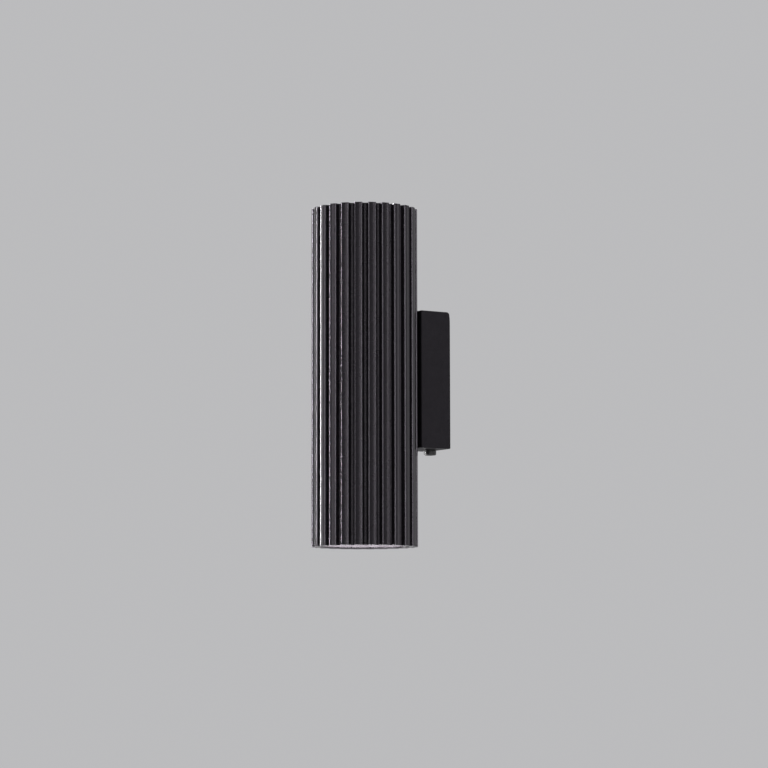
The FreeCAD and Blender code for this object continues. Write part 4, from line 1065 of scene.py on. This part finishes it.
@dataclass
class WallBracket:
    """The plated bracket on the wall, with the rubber bush in its middle."""

    neck: float = 7.0 * MM
    neck_length: float = 1.5 * MM
    bore: float = 4.0 * MM
    flange_round: float = 0.45 * MM
    bore_round: float = 0.35 * MM
    edge_break: float = 0.14 * MM
    flat: float = math.radians(1)
    steps: int = 72

    def bracket(self) -> Piece:
        """The bracket's own form, merged, with its cut edges broken."""
        mesh = bmesh.new()
        mesh.from_mesh(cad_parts["wall_bracket"].data)
        bmesh.ops.remove_doubles(mesh, verts=mesh.verts, dist=MERGE)
        bmesh.ops.dissolve_limit(mesh, angle_limit=self.flat, verts=mesh.verts, edges=mesh.edges)
        return polish_edges(finished(mesh, "plated_bracket"), self.edge_break)

    def bush(self) -> Piece:
        """The cable bush, turned about the cable's axis."""
        low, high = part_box("cable_bush")
        flange = (high.x - low.x) / 2
        depth = high.y - low.y
        mesh = bmesh.new()
        chain = outline(mesh, [(self.bore, 0), (self.neck, 0), (self.neck, self.neck_length),
                               (flange, self.neck_length), (flange, depth), (self.bore, depth)], closed=True)
        round_corners(mesh, [chain[4]], self.flange_round, 4)
        inner = [vert for vert in mesh.verts if abs(vert.co.x - self.bore) < MERGE]
        round_corners(mesh, inner, self.bore_round, 4)
        spin_round(mesh, self.steps)
        bmesh.ops.rotate(mesh, verts=mesh.verts, cent=(0, 0, 0), matrix=Matrix.Rotation(math.pi / 2, 3, "X"))
        return finished(mesh, "cable_grommet")

    def build(self, paints: Paintbox) -> None:
        """Make bracket and bush and dress them."""
        bracket = self.bracket()
        paints.coat(bracket, ZINC)
        stand_in(bracket, "wall_bracket", "light")
        bush = self.bush()
        paints.coat(bush, RUBBER)
        stand_in(bush, "cable_bush", "light")


@dataclass
class InnerWorks:
    """What the light holds inside, which keeps the frame's own shapes."""

    plated: tuple[str, ...] = ("head_screws", "head_washers", "clinch_nut", "holder_screws",
                               "holder_nuts", "earth_washer", "terminal_screws", "terminal_fixing_screw")

    def build(self, paints: Paintbox) -> None:
        """Dress the nodes."""
        paints.coat_nodes(ZINC, "lamp_frame")
        paints.coat_nodes(ZINC_HARDWARE, *self.plated)
        paints.coat_nodes(BLACK_NYLON, "wire_bush")
        paints.coat_nodes(NATURAL_NYLON, "terminal_block")
        paints.coat_nodes(BRASS, "terminal_sleeves", "earth_screw")
        paints.coat_nodes(TINNED, "earth_tags")
        for end in End:
            paints.coat_nodes(INSULATIONS[Core.LIVE], f"{end.prefix}_live_lead")
            paints.coat_nodes(INSULATIONS[Core.NEUTRAL], f"{end.prefix}_neutral_lead")
        paints.coat_nodes(INSULATIONS[Core.EARTH], "earth_lead")


# ---------------------------------------------------------------- studio

@dataclass(frozen=True)
class Panel:
    """A soft light panel that faces the middle of the light."""

    name: str
    bearing: float
    rise: float
    distance: float
    width: float
    height: float
    power: float
    tint: Colour = (1.0, 1.0, 1.0)

    def build(self, target: Vector, view_bearing: float) -> None:
        """Hang the panel.

        Args:
            target: What it faces.
            view_bearing: The camera's bearing, which the panel's own bearing is added to.
        """
        turn = math.radians(view_bearing + self.bearing)
        lift = math.radians(self.rise)
        away = Vector((math.sin(turn) * math.cos(lift), -math.cos(turn) * math.cos(lift), math.sin(lift)))
        data = bpy.data.lights.new(self.name, "AREA")
        data.shape, data.size, data.size_y = "RECTANGLE", self.width, self.height
        data.energy, data.color = self.power, self.tint
        lamp = bpy.data.objects.new(self.name, data)
        lamp.location = target + away * self.distance
        lamp.rotation_euler = (-away).to_track_quat("-Z", "Y").to_euler()
        lamp.visible_camera = False
        bpy.context.scene.collection.objects.link(lamp)


@dataclass
class Studio:
    """Camera, soft lights, pale surroundings and a pale floor far below the light."""

    eye: Colour = (1.3967, -0.8898, -0.1748)
    heading: float = 58.63
    pitch: float = 5.996
    roll: float = -0.095
    lens: float = 129.88
    sensor: float = 36.0
    floor_drop: float = 1.5
    floor_reach: float = 6.0
    floor_grain: float = 0.4
    floor_tones: tuple[Colour, Colour] = ((0.66, 0.66, 0.665), (0.70, 0.70, 0.70))
    floor_roughness: float = 0.9
    air: Colour = (0.50, 0.50, 0.51)
    panels: tuple[Panel, ...] = (
        Panel("edge_panel", -114.5, -4, 1.5, 0.10, 2.6, 85.0),
        Panel("rear_edge_panel", -147, -4, 1.5, 0.03, 2.6, 3.0),
        Panel("strip_a", -102, 5, 1.6, 0.10, 2.2, 1.8),
        Panel("strip_b", -70, 5, 1.6, 0.10, 2.2, 3.2),
        Panel("strip_c", -37, 5, 1.6, 0.10, 2.2, 4.2),
        Panel("strip_d", -6.5, 5, 1.6, 0.10, 2.2, 4.4),
        Panel("strip_e", 23, 5, 1.6, 0.10, 2.2, 4.4),
        Panel("strip_f", 53, 5, 1.6, 0.10, 2.2, 4.6),
        Panel("strip_g", 78, 5, 1.6, 0.12, 2.2, 2.5),
        Panel("strip_h", 108, 5, 1.6, 0.12, 2.2, 1.0),
    )

    def camera(self) -> None:
        """Set up the camera at the photograph's viewing angle."""
        data = bpy.data.cameras.new("camera")
        data.lens, data.sensor_width = self.lens, self.sensor
        camera = bpy.data.objects.new("camera", data)
        camera.matrix_world = (Matrix.Translation(self.eye)
                               @ Matrix.Rotation(math.radians(self.heading), 4, "Z")
                               @ Matrix.Rotation(math.radians(90 + self.pitch), 4, "X")
                               @ Matrix.Rotation(math.radians(self.roll), 4, "Z"))
        bpy.context.scene.collection.objects.link(camera)
        bpy.context.scene.camera = camera

    def floor(self) -> None:
        """Lay the pale floor."""
        mesh = bmesh.new()
        bmesh.ops.create_circle(mesh, cap_ends=True, segments=96, radius=self.floor_reach,
                                matrix=Matrix.Translation((0, 0, -self.floor_drop)))
        floor = finished(mesh, "pale_floor")
        recipe = Recipe("pale_floor")
        recipe.feed("Base Color", recipe.blend(recipe.noise(self.floor_grain, 4), *self.floor_tones))
        recipe.set(Roughness=self.floor_roughness)
        floor.data.materials.append(recipe.material)
        floor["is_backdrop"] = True

    def surroundings(self) -> None:
        """Fill the air with an even pale light."""
        world = bpy.data.worlds.new("pale_air")
        world.use_nodes = True
        world.node_tree.nodes["Background"].inputs["Color"].default_value = (*self.air, 1)
        bpy.context.scene.world = world

    def build(self) -> None:
        """Set up everything round the light."""
        scene = bpy.context.scene
        scene.view_settings.view_transform = "Standard"
        self.surroundings()
        self.floor()
        self.camera()
        low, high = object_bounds()
        for panel in self.panels:
            panel.build((low + high) / 2, self.heading)


def main() -> None:
    """Build the light's sub-assemblies in order, then the studio."""
    logging.basicConfig(level=logging.INFO, format="%(name)s: %(message)s")
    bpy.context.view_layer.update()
    paints = Paintbox()
    tube = FlutedTube()
    tube.build(paints)
    CoverBox().build(paints)
    RetainingScrew().build(paints)
    for end in End:
        ReflectorLamp(end, tube.centre.y).build(paints)
    WallBracket().build(paints)
    InnerWorks().build(paints)
    Studio().build()


if __name__ == "__main__":
    main()
